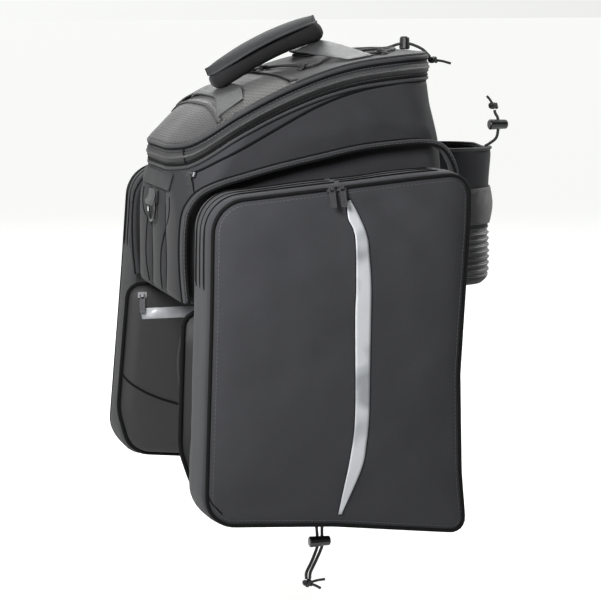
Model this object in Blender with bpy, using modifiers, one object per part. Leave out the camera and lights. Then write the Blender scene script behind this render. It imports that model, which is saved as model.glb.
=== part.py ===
"""Bicycle trunk bag with its two side panniers folded down. Metres, +Z up, +X to the rear.

The origin is the middle of the seat on the rack, on the underside of the hidden plate.
"""

import math

import bmesh
import bpy
from mathutils import Matrix, Vector
from mathutils.bvhtree import BVHTree

# Clearances and walls
GAP = 0.0003
SEAM_GAP = 0.0008
WALL = 0.0025
PANEL_WALL = 0.002
PANEL_RIM = 0.0017
WEBBING = 0.0016
THIN = 0.0010

# Plate that seats on the rack
PLATE_LENGTH = 0.230
PLATE_WIDTH = 0.096
PLATE_THICKNESS = 0.006
PLATE_CORNER = 0.008

# Trunk compartment
TRUNK_FRONT = -0.138
TRUNK_LENGTH = 0.270
TRUNK_WIDTH = 0.196
TRUNK_FRONT_RADIUS = 0.016
TRUNK_REAR_RADIUS = 0.020
BOTTOM_ROUND = 0.006
FOLD_DEPTH = 0.006
FOLD_PITCH = 0.056
RIM_FRONT_HEIGHT = 0.131
RIM_RISE = 0.085

# Lid
LID_FRONT = -0.134
LID_LENGTH = 0.255
LID_FRONT_RADIUS = 0.068
LID_REAR_RADIUS = 0.042
BAND_HEIGHT = 0.021
BAND_BULGE = 0.0015
DOME_RISE = 0.027
SPINE_INSET = 0.060
LID_SKIRT = 0.003

# Patch under the front of the lid
PATCH_WIDTH = 0.110
PATCH_HEIGHT = 0.016
PATCH_DROP = 0.004
PATCH_THICKNESS = 0.0016
PATCH_STEPS = 6

# Side zip frames
FRAME_FRONT = -0.1385
FRAME_LENGTH = 0.2765
FRAME_BOTTOM = 0.010
FRAME_HEIGHT = 0.150
FRAME_LIP = 0.005
FRAME_DEPTH = 0.013

# Panniers
PANNIER_FRONT = -0.140
PANNIER_LENGTH = 0.262
PANNIER_TOP = 0.137
PANNIER_HEIGHT = 0.352
PANNIER_DEPTH = 0.086
PANNIER_CORNER = 0.030
PANNIER_TUCK = 0.0125
PANEL_CROWN = 0.013
STRIPE_WIDTH = 0.015
STRIPE_THICKNESS = 0.0007
BOARD_FRONT = -0.138
BOARD_LENGTH = 0.246
BOARD_TOP = -0.002
BOARD_HEIGHT = 0.186
BOARD_CROWN = 0.012
BOARD_STRIP_WIDTH = 0.012
BOARD_STRIP_DROP = 0.022
BOARD_STRIP_INSET = 0.065
BOARD_STRIP_STEPS = 8
FAR_SHIFT = 0.008
FAR_SWING = -0.020
FAR_BOARD_SHIFT = -0.010

# Handle
GRIP_FRONT = -0.079
GRIP_LENGTH = 0.110
GRIP_WIDTH = 0.036
GRIP_THICKNESS = 0.021
GRIP_CLEARANCE = 0.0030
GRIP_BOW = 0.008
GRIP_SLOPE = 0.44
GRIP_SIDES = 12
PAD_THICKNESS = 0.0045
PAD_START = 0.30
PAD_STEPS = 5
STRAP_WIDTH = 0.025
STRAP_FOOT_CLEARANCE = 0.0004

# Handle straps. Name, share along the grip, lean of the feet, spread of the feet
HANDLE_STRAPS = (
    ("handle_strap_front", 0.07, -0.012, 0.083),
    ("handle_strap_rear", 0.90, 0.026, 0.086),
)

# Rings and their loops
RING_WIDTH = 0.027
RING_HEIGHT = 0.019
RING_WIRE = 0.0016
RING_CLEARANCE = 0.0009
RING_STEPS = 8
LOOP_HEIGHT = 0.012
LOOP_WIDTH = 0.024
LOOP_STEPS = 6
FRONT_RING_DROP = 0.015
REAR_RING_DROP = 0.020

# Bottle pocket
POCKET_LENGTH = 0.076
POCKET_WIDTH = 0.090
POCKET_RADIUS = 0.036
POCKET_BOTTOM = 0.004
POCKET_HEIGHT = 0.138
POCKET_WALL = 0.004
RIBBED_HEIGHT = 0.056
RIB_DEPTH = 0.0022
LIGHT_STRAP_HEIGHT = 0.037
LIGHT_STRAP_BOTTOM = 0.066
LIGHT_STRAP_STAND = 0.004
LIGHT_STRAP_SEAT = 0.0012
SMALL_ROUND = 0.004

# Zip sliders and pull tabs
SLIDER_LENGTH = 0.009
SLIDER_WIDTH = 0.006
SLIDER_BASE = 0.0016
LID_SLIDER_DEPTH = 0.004
BRIDGE_HEIGHT = 0.0036
BRIDGE_WIDTH = 0.0024
BRIDGE_LENGTH = 0.0052
BRIDGE_WALL = 0.0009
TAB_LENGTH = 0.020
TAB_WIDTH = 0.0058
TAB_THICKNESS = 0.0011
TAB_WINDOW = 0.0034
TAB_LEAN = math.radians(26)
BOARD_LEAN = math.radians(5)
FRONT_PULL_INSET = 0.0012
BOARD_PULL_INSET = 0.0165
BOARD_PULL_DROP = 0.0090
FRAME_PULL_X = -0.119
FRAME_PULL_Z = 0.128
FRAME_PULL_WIDTH = 0.004
FRAME_PULL_LEAN = 0.15
FRAME_SLIDER = (0.010, 0.006, 0.004)

# Cords, locks and knots
CORD = 0.003
THIN_CORD = 0.0026
LOCK_RADIUS = 0.0055
LID_LOCK_LENGTH = 0.013
POCKET_LOCK_LENGTH = 0.020
PANNIER_LOCK_LENGTH = 0.021
LOCK_CLEARANCE = 0.0006
LOCK_TAPER = 0.86
LID_LOCK_BORE = -0.0012
LID_LOCK_TURN = -0.15
PANNIER_LOCK_BORES = (-0.0024, 0.0024)
LOCK_BEVEL = 0.0012
KNOT_RADIUS = 0.0048

# Columns: drop below the frame slider, distance off the trunk's wall
FRAME_PULL_RUN = ((0.0045, 0.0052), (0.010, 0.0016), (0.021, 0.0012))

CORD_LOOP_WIDTH = 0.008

# Columns: distance from the cord in diameters, share of the arch's height
LOOP_ARCH = ((-2.2, 0.0), (-1.3, 0.0), (-0.8, 1.0), (0.8, 1.0), (1.3, 0.0), (2.2, 0.0))

# Columns: X and Y of the lid cord on the lid
LID_CORD_A = (
    (-0.030, 0.052),
    (-0.018, 0.028),
    (-0.009, 0.003),
    (-0.004, -0.030),
    (-0.002, -0.058),
    (0.006, -0.066),
    (0.016, -0.058),
    (0.025, -0.049),
    (0.037, -0.038),
    (0.060, -0.024),
    (0.086, -0.022),
    (0.097, -0.034),
    (0.090, -0.054),
    (0.072, -0.072),
    (0.055, -0.074),
)
LID_CORD_B = ((0.020, 0.052), (0.036, 0.030), (0.060, 0.012), (0.082, -0.004), (0.097, -0.014))
LID_CORD_REAR = (
    (0.1080, -0.0188, 0.2476),
    (0.1147, -0.0200, 0.2478),
    (0.1214, -0.0212, 0.2476),
    (0.1334, -0.0200, 0.2427),
    (0.1418, -0.0200, 0.2352),
)
LID_LOCK = (0.1147, -0.0200, 0.2490)
LID_KNOT = (0.1455, -0.0200, 0.2318)
LID_TAILS = ((0.1640, -0.0210, 0.2280),)

# Cord of the bottle pocket
POCKET_CORD = (
    (0.2030, -0.0200, 0.1437),
    (0.2084, -0.0200, 0.1466),
    (0.2150, -0.0200, 0.1516),
    (0.2170, -0.0200, 0.1590),
    (0.2168, -0.0200, 0.1655),
    (0.2166, -0.0200, 0.1720),
    (0.2140, -0.0200, 0.1765),
    (0.2128, -0.0200, 0.1800),
)
POCKET_LOCK = (0.2168, -0.0200, 0.1655)
POCKET_KNOT = (0.2120, -0.0200, 0.1845)
POCKET_TAILS = ((0.2044, -0.0200, 0.1945),)

# Two strands of the near pannier's drawcord, below its bottom
PANNIER_CORD_Y = -0.140
PANNIER_CORD_A = (
    (-0.0165, -0.2100),
    (-0.0149, -0.2160),
    (-0.0149, -0.2222),
    (-0.0151, -0.2284),
    (-0.0205, -0.2420),
    (-0.0255, -0.2520),
    (-0.0258, -0.2586),
)
PANNIER_CORD_B = (
    (-0.0100, -0.2100),
    (-0.0101, -0.2160),
    (-0.0101, -0.2222),
    (-0.0103, -0.2284),
    (-0.0165, -0.2420),
    (-0.0215, -0.2520),
    (-0.0224, -0.2586),
)
PANNIER_LOCK = (-0.0125, -0.1400, -0.2222)
PANNIER_KNOT = (-0.0241, -0.1400, -0.2629)
PANNIER_TAILS = ((-0.0070, -0.1400, -0.2605), (-0.0120, -0.1420, -0.2685))

# Columns: height share, share of the way from the base outline to the lid outline, inset share
TRUNK_SECTIONS = (
    (0.000, 0.00, 1.0),
    (0.045, 0.00, 0.0),
    (0.330, 0.00, 0.0),
    (0.560, 0.04, 0.0),
    (0.740, 0.28, 0.0),
    (0.880, 0.68, 0.0),
    (1.000, 1.00, 0.0),
)

# Columns: share along the lid, share of the rim's rise
RIM_CURVE = (
    (0.00, 0.00),
    (0.06, 0.06),
    (0.22, 0.39),
    (0.44, 0.70),
    (0.64, 0.89),
    (0.85, 0.98),
    (1.00, 1.00),
)

# Columns: share along the lid, share of the dome's rise
DOME_CURVE = (
    (0.00, 0.72),
    (0.10, 0.64),
    (0.22, 0.44),
    (0.44, 0.26),
    (0.64, 0.20),
    (0.85, 0.17),
    (1.00, 0.16),
)

# Columns: share of the way from the lid's edge to its spine, share of the skirt
LID_SECTIONS = ((0.00, 0.0), (0.00, 1.0), (0.04, 1.0), (0.14, 1.0), (0.36, 1.0), (0.66, 1.0), (1.00, 1.0))

# Columns: share along the frame, share up the frame
FRAME_CURVE = (
    (0.010, 0.000),
    (0.002, 0.170),
    (0.000, 0.350),
    (0.006, 0.510),
    (0.020, 0.600),
    (0.060, 0.690),
    (0.130, 0.750),
    (0.230, 0.800),
    (0.340, 0.850),
    (0.490, 0.907),
    (0.640, 0.960),
    (0.780, 0.985),
    (0.870, 0.990),
    (0.935, 0.965),
    (0.975, 0.890),
    (1.000, 0.760),
    (0.996, 0.520),
    (0.990, 0.260),
    (0.985, 0.000),
)

# Corners of the pannier seen from its side. Columns: share along, share up, radius share
PANNIER_CORNERS = (
    (0.978, 0.180, 2.20),
    (0.968, 0.450, 2.60),
    (1.000, 0.880, 1.60),
    (1.000, 1.000, 0.75),
    (0.800, 0.990, 1.60),
    (0.030, 0.940, 1.15),
    (0.022, 0.640, 2.60),
    (0.000, 0.170, 1.60),
    (0.000, 0.075, 1.05),
    (0.480, 0.050, 1.80),
    (1.000, 0.000, 0.50),
)

# Columns: share of the depth, inset share of the tuck
PANNIER_SECTIONS = ((0.00, 1.00), (0.19, 0.62), (0.38, 0.12), (0.70, 0.00), (0.97, 0.10), (1.00, 0.22))

# Columns: size share towards the middle, crown share
PANEL_SECTIONS = ((1.00, 0.00), (0.96, 0.30), (0.86, 0.62), (0.66, 0.88), (0.36, 1.00))

# Middle line of the stripe. Columns: share along the pannier, share up, width share
STRIPE_LINE = (
    (0.508, 0.930, 0.35),
    (0.522, 0.885, 0.65),
    (0.548, 0.835, 0.85),
    (0.565, 0.740, 1.00),
    (0.570, 0.640, 1.00),
    (0.568, 0.480, 1.00),
    (0.566, 0.370, 1.00),
    (0.556, 0.265, 1.00),
    (0.538, 0.190, 0.90),
    (0.512, 0.125, 0.60),
    (0.490, 0.078, 0.20),
)

# Columns: share along the grip, height share of the bow, width share, thickness share
GRIP_SECTIONS = (
    (0.00, 0.00, 0.55, 0.45),
    (0.03, 0.05, 0.80, 0.75),
    (0.12, 0.35, 0.96, 0.96),
    (0.35, 0.85, 1.00, 1.00),
    (0.60, 1.00, 1.00, 1.00),
    (0.85, 0.75, 1.00, 1.02),
    (0.96, 0.45, 0.92, 0.92),
    (1.00, 0.35, 0.66, 0.60),
)

# Corners of a board seen from its side. Columns: share along, share up, radius share
BOARD_CORNERS = (
    (0.960, 0.500, 2.60),
    (1.000, 1.000, 0.40),
    (0.020, 1.000, 0.40),
    (0.000, 0.300, 2.00),
    (0.060, 0.060, 0.95),
    (0.480, 0.000, 1.60),
    (0.960, 0.030, 0.70),
)

# Columns: size share towards the middle, share of the crown
BOARD_SECTIONS = ((1.00, 0.00), (1.00, 0.35), (0.97, 0.62), (0.90, 0.88), (0.50, 1.00))

# Columns: share of the way down to the foot, share of the way up to the grip
STRAP_ARCH = ((1.00, 0.00), (0.92, 0.12), (0.66, 0.56), (0.40, 0.90), (0.24, 1.00), (0.00, 1.00))

# Columns: height share, share of a rib's depth, counted from the pocket's bottom
POCKET_SECTIONS = (
    (0.00, -2.5),
    (0.03, -0.4),
    (0.07, 1.0),
    (0.12, 0.0),
    (0.17, 1.0),
    (0.22, 0.0),
    (0.27, 1.0),
    (0.32, 0.0),
    (0.37, 1.0),
    (0.42, 0.3),
    (0.70, 0.2),
    (0.94, 0.9),
    (1.00, 0.6),
)

# Columns: height share, share of the stand-off
LIGHT_STRAP_SECTIONS = ((0.00, 0.0), (0.14, 0.35), (0.50, 1.0), (0.92, 0.25), (1.00, 0.0))

# Two zip pulls side by side on a pannier front: share along of the first, and their pitch
FRONT_PULL_SHARE = 0.468
FRONT_PULL_PITCH = 0.010

# Height above a pannier from which its parts are set down on it
DRAPE = 0.05

# Steps round the trunk: rear, rear corner, side, front corner, front
TRUNK_COUNTS = (5, 3, 7, 4, 12)

TRUNK_BASE = PLATE_THICKNESS + GAP
TRUNK_REAR = TRUNK_FRONT + TRUNK_LENGTH
LID_REAR = LID_FRONT + LID_LENGTH
SIDE_Y = TRUNK_WIDTH / 2
FRAME_BACK_Y = SIDE_Y + GAP
PANNIER_BACK_Y = SIDE_Y + GAP
PANNIER_SEAM_Y = PANNIER_BACK_Y + PANNIER_DEPTH
PANNIER_BOTTOM = PANNIER_TOP - PANNIER_HEIGHT
POCKET_FRONT = TRUNK_REAR + GAP
POCKET_REAR = POCKET_FRONT + POCKET_LENGTH

# The rings hang below the front patch and below the lid's rear edge
FRONT_RING_HEIGHT = RIM_FRONT_HEIGHT - PATCH_DROP - PATCH_HEIGHT - FRONT_RING_DROP
REAR_RING_HEIGHT = RIM_FRONT_HEIGHT + RIM_RISE - REAR_RING_DROP

# Looks: colour, roughness, metallic
LOOKS = {
    "cloth": ((0.055, 0.058, 0.062), 0.85, 0.0),
    "dark_cloth": ((0.020, 0.022, 0.025), 0.80, 0.0),
    "mesh_cloth": ((0.16, 0.155, 0.145), 0.90, 0.0),
    "webbing": ((0.045, 0.045, 0.050), 0.75, 0.0),
    "moulded": ((0.040, 0.042, 0.046), 0.60, 0.0),
    "plastic": ((0.015, 0.015, 0.017), 0.40, 0.0),
    "metal": ((0.35, 0.36, 0.38), 0.30, 1.0),
    "reflective": ((0.75, 0.77, 0.80), 0.35, 0.1),
    "cord": ((0.02, 0.02, 0.022), 0.70, 0.0),
}


def clear_scene():
    for obj in list(bpy.data.objects):
        bpy.data.objects.remove(obj, do_unlink=True)


def new_collection(name, hidden=False):
    collection = bpy.data.collections.new(name)
    bpy.context.scene.collection.children.link(collection)
    collection.hide_render = hidden
    return collection


def make_material(name, look):
    colour, roughness, metallic = LOOKS[look]
    material = bpy.data.materials.new(name)
    material.use_nodes = True
    shader = material.node_tree.nodes["Principled BSDF"]
    shader.inputs["Base Color"].default_value = (*colour, 1.0)
    shader.inputs["Roughness"].default_value = roughness
    shader.inputs["Metallic"].default_value = metallic
    material.diffuse_color = (*colour, 1.0)
    return material


def add_object(name, bm, look):
    """Object of the bag from a bmesh, with its own material and smooth shading."""
    mesh = bpy.data.meshes.new(name)
    bm.to_mesh(mesh)
    bm.free()
    mesh.shade_smooth()
    mesh.set_sharp_from_angle(angle=math.radians(35))
    obj = bpy.data.objects.new(name, mesh)
    obj.data.materials.append(make_material(name, look))
    bag.objects.link(obj)
    return obj


def add_wall(obj, thickness):
    """Gives an open surface a wall that grows inwards."""
    wall = obj.modifiers.new("wall", "SOLIDIFY")
    wall.thickness = thickness
    wall.offset = -1.0
    return obj


def curve_value(table, share, column=1):
    """Value in a column of a table at a share in its first column, on a smooth curve."""
    shares = [row[0] for row in table]
    values = [row[column] for row in table]
    if share <= shares[0]:
        return values[0]
    if share >= shares[-1]:
        return values[-1]
    index = max(i for i in range(len(shares) - 1) if shares[i] <= share)

    def slope(i):
        low = max(i - 1, 0)
        high = min(i + 1, len(shares) - 1)
        return (values[high] - values[low]) / (shares[high] - shares[low])

    span = shares[index + 1] - shares[index]
    t = (share - shares[index]) / span
    start = values[index] * (1 + 2 * t) * (1 - t) ** 2 + slope(index) * span * t * (1 - t) ** 2
    end = values[index + 1] * t * t * (3 - 2 * t) - slope(index + 1) * span * t * t * (1 - t)
    return start + end


def mix(a, b, share):
    return a + (b - a) * share


def loft(rings, cap_first=False, cap_last=False, closed=True, inside_out=False):
    """Surface through rings of as many points. Points that meet are merged."""
    bm = bmesh.new()
    rows = [[bm.verts.new(point) for point in ring] for ring in rings]
    count = len(rows[0])
    for low, high in zip(rows, rows[1:]):
        for i in range(count if closed else count - 1):
            j = (i + 1) % count
            bm.faces.new((low[i], low[j], high[j], high[i]))
    if cap_first:
        bm.faces.new(reversed(rows[0]))
    if cap_last:
        bm.faces.new(rows[-1])
    bmesh.ops.remove_doubles(bm, verts=bm.verts, dist=0.00002)
    if cap_first and cap_last:
        bmesh.ops.recalc_face_normals(bm, faces=bm.faces)
    elif inside_out:
        bmesh.ops.reverse_faces(bm, faces=bm.faces)
    return bm


def rounded_plan(front, rear, half_width, front_radius, rear_radius, counts):
    """Rounded outline seen from above, anticlockwise, in the steps that TRUNK_COUNTS lists."""
    rear_count, rear_steps, side_count, front_steps, front_count = counts
    points = []

    def run(start, end, count):
        points.extend(mix(Vector(start), Vector(end), i / count) for i in range(count))

    def arc(x, y, radius, first_angle, steps):
        for i in range(steps):
            angle = first_angle + math.pi / 2 * i / steps
            points.append(Vector((x + radius * math.cos(angle), y + radius * math.sin(angle))))

    run((rear, rear_radius - half_width), (rear, half_width - rear_radius), rear_count)
    arc(rear - rear_radius, half_width - rear_radius, rear_radius, 0.0, rear_steps)
    run((rear - rear_radius, half_width), (front + front_radius, half_width), side_count)
    arc(front + front_radius, half_width - front_radius, front_radius, math.pi / 2, front_steps)
    run((front, half_width - front_radius), (front, front_radius - half_width), front_count)
    arc(front + front_radius, front_radius - half_width, front_radius, math.pi, front_steps)
    run((front + front_radius, -half_width), (rear - rear_radius, -half_width), side_count)
    arc(rear - rear_radius, rear_radius - half_width, rear_radius, 1.5 * math.pi, rear_steps)
    return points


def rim_height(x):
    share = min(max((x - LID_FRONT) / LID_LENGTH, 0.0), 1.0)
    return RIM_FRONT_HEIGHT + RIM_RISE * curve_value(RIM_CURVE, share)


def dome_rise(x):
    share = min(max((x - LID_FRONT) / LID_LENGTH, 0.0), 1.0)
    return DOME_RISE * curve_value(DOME_CURVE, share)


def crest_height(x):
    return rim_height(x) + 2 * SEAM_GAP + BAND_HEIGHT + dome_rise(x)


def trunk_plan(share, inset):
    """Outline of the trunk at a share of the way from its base to its lid, with the folds in front."""
    front = mix(TRUNK_FRONT, LID_FRONT, share) + inset
    rear = mix(TRUNK_REAR, LID_REAR, share) - inset
    front_radius = mix(TRUNK_FRONT_RADIUS, LID_FRONT_RADIUS, share)
    rear_radius = mix(TRUNK_REAR_RADIUS, LID_REAR_RADIUS, share)
    points = rounded_plan(front, rear, SIDE_Y - inset, front_radius, rear_radius, TRUNK_COUNTS)
    folds = FOLD_DEPTH * (1 - share) * (1 - inset / BOTTOM_ROUND)
    for point in points:
        if abs(point.x - front) < FOLD_DEPTH:
            point.x += folds * (1 - abs(math.cos(math.pi * point.y / FOLD_PITCH)))
    return points


def make_plate():
    bm = bmesh.new()
    bmesh.ops.create_cube(bm, size=1.0)
    bmesh.ops.scale(bm, vec=(PLATE_LENGTH, PLATE_WIDTH, PLATE_THICKNESS), verts=bm.verts)
    bmesh.ops.translate(bm, vec=(0, 0, PLATE_THICKNESS / 2), verts=bm.verts)
    upright = [edge for edge in bm.edges if abs(edge.verts[0].co.z - edge.verts[1].co.z) > 0.001]
    bmesh.ops.bevel(bm, geom=upright, offset=PLATE_CORNER, segments=3, profile=0.5, affect="EDGES")
    return add_object("rack_plate", bm, "plastic")


def make_trunk():
    rings = []
    for height, share, inset in TRUNK_SECTIONS:
        ring = []
        for point in trunk_plan(share, inset * BOTTOM_ROUND):
            top = rim_height(point.x)
            ring.append((point.x, point.y, mix(TRUNK_BASE, top, height)))
        rings.append(ring)
    return add_wall(add_object("trunk_shell", loft(rings, cap_first=True), "cloth"), WALL)


def make_lid_band():
    rings = []
    for height, bulge in ((0.0, 0.0), (0.5, 1.0), (1.0, 0.0)):
        ring = []
        for point in trunk_plan(1.0, -bulge * BAND_BULGE):
            ring.append((point.x, point.y, rim_height(point.x) + SEAM_GAP + BAND_HEIGHT * height))
        rings.append(ring)
    return add_wall(add_object("lid_band", loft(rings), "cloth"), WALL)


def make_lid_top():
    """Domed lid: rings from its edge in to a spine along the middle."""
    edge = trunk_plan(1.0, 0.0)
    rings = []
    for share, skirt in LID_SECTIONS:
        ring = []
        for point in edge:
            spine_x = min(max(point.x, LID_FRONT + SPINE_INSET), LID_REAR - SPINE_INSET)
            x = mix(point.x, spine_x, share)
            y = mix(point.y, 0.0, share)
            edge_z = crest_height(x) - dome_rise(x) + skirt * LID_SKIRT
            ring.append((x, y, edge_z + (dome_rise(x) - LID_SKIRT) * (1 - (1 - share) ** 4)))
        rings.append(ring)
    return add_wall(add_object("lid_top", loft(rings), "mesh_cloth"), WALL)


def frame_path():
    points = []
    for along, up in FRAME_CURVE:
        points.append(Vector((FRAME_FRONT + along * FRAME_LENGTH, FRAME_BOTTOM + up * FRAME_HEIGHT)))
    return points


def make_frame(side, name):
    """Lip round the front, top and rear of a side, square to the side wall."""
    path = frame_path()
    rings = []
    for i, point in enumerate(path):
        run = path[min(i + 1, len(path) - 1)] - path[max(i - 1, 0)]
        inward = Vector((run.y, -run.x)).normalized() * FRAME_LIP
        inner = point + inward
        near = side * FRAME_BACK_Y
        far = side * (FRAME_BACK_Y + FRAME_DEPTH)
        top = side * (FRAME_BACK_Y + FRAME_DEPTH * 0.8)
        rings.append(
            [
                (point.x, near, point.y),
                (inner.x, near, inner.y),
                (inner.x, top, inner.y),
                (mix(inner.x, point.x, 0.3), far, mix(inner.y, point.y, 0.3)),
                (mix(inner.x, point.x, 0.7), far, mix(inner.y, point.y, 0.7)),
                (point.x, top, point.y),
            ]
        )
    bm = loft(rings, cap_first=True, cap_last=True)
    return add_object(name, bm, "webbing")


def corner_points(before, corner, after, radius, steps):
    """Arc that rounds one corner of an outline."""
    to_before = (before - corner).normalized()
    to_after = (after - corner).normalized()
    half = to_before.angle(to_after) / 2
    if abs(half - math.pi / 2) < 0.02:
        return [corner]
    reach = radius / math.tan(half)
    start = corner + to_before * reach
    end = corner + to_after * reach
    centre = corner + (to_before + to_after).normalized() * radius / math.sin(half)
    points = []
    for i in range(steps + 1):
        along = mix(start, end, i / steps) - centre
        points.append(centre + along.normalized() * radius)
    return points


def corner_outline(table, box, size=1.0, inset=0.0):
    """Rounded outline from a table of corners in a box of front, bottom, length and height."""
    front, bottom, length, height = box
    corners = []
    for along, up, radius in table:
        corners.append((Vector((front + along * length, bottom + up * height)), radius * PANNIER_CORNER))
    points = []
    for i, (corner, radius) in enumerate(corners):
        before = corners[i - 1][0]
        after = corners[(i + 1) % len(corners)][0]
        steps = 4 if radius < 1.2 * PANNIER_CORNER else 1
        points.extend(corner_points(before, corner, after, radius, steps))
    middle = Vector((front + length * 0.5, bottom + height * 0.52))
    moved = []
    for i, point in enumerate(points):
        run = points[(i + 1) % len(points)] - points[i - 1]
        inward = Vector((-run.y, run.x)).normalized()
        moved.append(mix(middle, point + inward * inset, size))
    return moved


def pannier_outline(size=1.0, inset=0.0):
    """Outline of a pannier seen from its side, anticlockwise seen from outside the near one."""
    box = (PANNIER_FRONT, PANNIER_BOTTOM, PANNIER_LENGTH, PANNIER_HEIGHT)
    return corner_outline(PANNIER_CORNERS, box, size, inset)


def side_ring(points, side, depth, shift=0.0):
    """Ring at a depth from the middle. The far pannier hangs a little swung to the front."""
    ring = []
    for point in points:
        swing = 0.0
        if side > 0:
            swing = shift + FAR_SHIFT + FAR_SWING * (PANNIER_TOP - point.y) / PANNIER_HEIGHT
        ring.append((point.x + swing, side * depth, point.y))
    return ring


def make_pannier_body(side, suffix):
    """Back and gusset of a pannier, open towards its front panel."""
    rings = []
    for depth, inset in PANNIER_SECTIONS:
        points = pannier_outline(inset=inset * PANNIER_TUCK)
        rings.append(side_ring(points, side, PANNIER_BACK_Y + depth * PANNIER_DEPTH))
    bm = loft(rings, cap_first=True, inside_out=side > 0)
    return add_wall(add_object("pannier_body_" + suffix, bm, "cloth"), PANEL_WALL)


def make_pannier_front(side, suffix):
    """Domed front panel of a pannier."""
    seam_inset = PANNIER_SECTIONS[-1][1] * PANNIER_TUCK
    start = PANNIER_SEAM_Y + GAP + PANEL_RIM
    rings = []
    for size, crown in PANEL_SECTIONS:
        points = pannier_outline(size=size, inset=seam_inset)
        rings.append(side_ring(points, side, start + crown * PANEL_CROWN))
    bm = loft(rings, cap_last=True, inside_out=side > 0)
    return add_wall(add_object("pannier_front_" + suffix, bm, "cloth"), PANEL_WALL)


def surface_of(obj):
    """Search tree of the outside of an object as it stands."""
    bpy.context.view_layer.update()
    graph = bpy.context.evaluated_depsgraph_get()
    return BVHTree.FromObject(obj, graph)


def lay_ribbon(tree, line, direction, stand_off):
    """Grid of points laid on a surface. line holds rows of points, direction points at the surface."""
    rings = []
    for row in line:
        ring = []
        for point in row:
            hit, _, _, _ = tree.ray_cast(point, direction)
            ring.append(hit - direction * stand_off)
        rings.append(ring)
    return rings


def make_stripe(side, suffix, panel):
    tree = surface_of(panel)
    line = []
    for along, up, width in STRIPE_LINE:
        x = PANNIER_FRONT + along * PANNIER_LENGTH
        z = PANNIER_BOTTOM + up * PANNIER_HEIGHT
        half = width * STRIPE_WIDTH / 2
        row = [Vector((x - half, z)), Vector((x, z)), Vector((x + half, z))]
        line.append([Vector(point) for point in side_ring(row, side, PANNIER_SEAM_Y + 3 * PANEL_CROWN)])
    direction = Vector((0, -side, 0))
    rings = lay_ribbon(tree, line, direction, 3 * GAP + STRIPE_THICKNESS)
    bm = loft(rings, closed=False, inside_out=side < 0)
    return add_wall(add_object("pannier_stripe_" + suffix, bm, "reflective"), STRIPE_THICKNESS)


def make_board(side, suffix):
    """Moulded board on the wheel side of a pannier, below the trunk."""
    box = (BOARD_FRONT, BOARD_TOP - BOARD_HEIGHT, BOARD_LENGTH, BOARD_HEIGHT)
    rings = []
    for size, depth in BOARD_SECTIONS:
        points = corner_outline(BOARD_CORNERS, box, size)
        depth_y = PANNIER_BACK_Y - GAP - depth * BOARD_CROWN
        rings.append(side_ring(points, side, depth_y, FAR_BOARD_SHIFT))
    bm = loft(rings, cap_first=True, cap_last=True)
    return add_object("pannier_board_" + suffix, bm, "moulded")


def make_board_strip(side, suffix, board):
    """Reflective strip across the top of a board."""
    tree = surface_of(board)
    line = []
    for i in range(BOARD_STRIP_STEPS + 1):
        share = mix(BOARD_STRIP_INSET, 1 - BOARD_STRIP_INSET, i / BOARD_STRIP_STEPS)
        x = BOARD_FRONT + share * BOARD_LENGTH
        top = BOARD_TOP - BOARD_STRIP_DROP
        row = [Vector((x, top - BOARD_STRIP_WIDTH)), Vector((x, top))]
        line.append([Vector(point) for point in side_ring(row, side, 0.0, FAR_BOARD_SHIFT)])
    rings = lay_ribbon(tree, line, Vector((0, side, 0)), GAP + STRIPE_THICKNESS)
    bm = loft(rings, closed=False, inside_out=side > 0)
    return add_wall(add_object("board_strip_" + suffix, bm, "reflective"), STRIPE_THICKNESS)


def box_mesh(low, high):
    bm = bmesh.new()
    bmesh.ops.create_cube(bm, size=1.0)
    size = Vector(high) - Vector(low)
    bmesh.ops.scale(bm, vec=size, verts=bm.verts)
    bmesh.ops.translate(bm, vec=(Vector(high) + Vector(low)) / 2, verts=bm.verts)
    return bm


def helper_object(name, bm):
    mesh = bpy.data.meshes.new(name)
    bm.to_mesh(mesh)
    bm.free()
    obj = bpy.data.objects.new(name, mesh)
    obj.display_type = "WIRE"
    obj.hide_render = True
    cutters.objects.link(obj)
    return obj


def joined_mesh(name, base, others):
    """Mesh of a base with other shapes united to it or cut from it. others: (bmesh, operation)."""
    start = helper_object(name, base)
    for i, (bm, operation) in enumerate(others):
        helper = helper_object(name + "_helper_" + str(i), bm)
        step = start.modifiers.new("join", "BOOLEAN")
        step.operation = operation
        step.object = helper
    bpy.context.view_layer.update()
    graph = bpy.context.evaluated_depsgraph_get()
    mesh = bpy.data.meshes.new_from_object(start.evaluated_get(graph))
    for step in list(start.modifiers):
        helper = step.object
        start.modifiers.remove(step)
        bpy.data.objects.remove(helper, do_unlink=True)
    bpy.data.objects.remove(start, do_unlink=True)
    mesh.name = name
    return mesh


def slider_mesh():
    """Zip slider facing -Y, its back at y 0, with a bridge that the pull tab hangs in."""
    half_length = SLIDER_LENGTH / 2
    half_width = SLIDER_WIDTH / 2
    half_bridge = BRIDGE_LENGTH / 2
    base = box_mesh((-half_length, -SLIDER_BASE, -half_width), (half_length, 0, half_width))
    bridge_top = SLIDER_BASE + BRIDGE_HEIGHT
    bridge_low = (-BRIDGE_WIDTH / 2, -bridge_top, -half_bridge)
    bridge = box_mesh(bridge_low, (BRIDGE_WIDTH / 2, -SLIDER_BASE / 2, half_bridge))
    tunnel_half = half_bridge - BRIDGE_WALL
    tunnel_top = -bridge_top + BRIDGE_WALL
    tunnel = box_mesh((-BRIDGE_WIDTH, tunnel_top, -tunnel_half), (BRIDGE_WIDTH, -SLIDER_BASE, tunnel_half))
    return joined_mesh("slider", base, [(bridge, "UNION"), (tunnel, "DIFFERENCE")])


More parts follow.
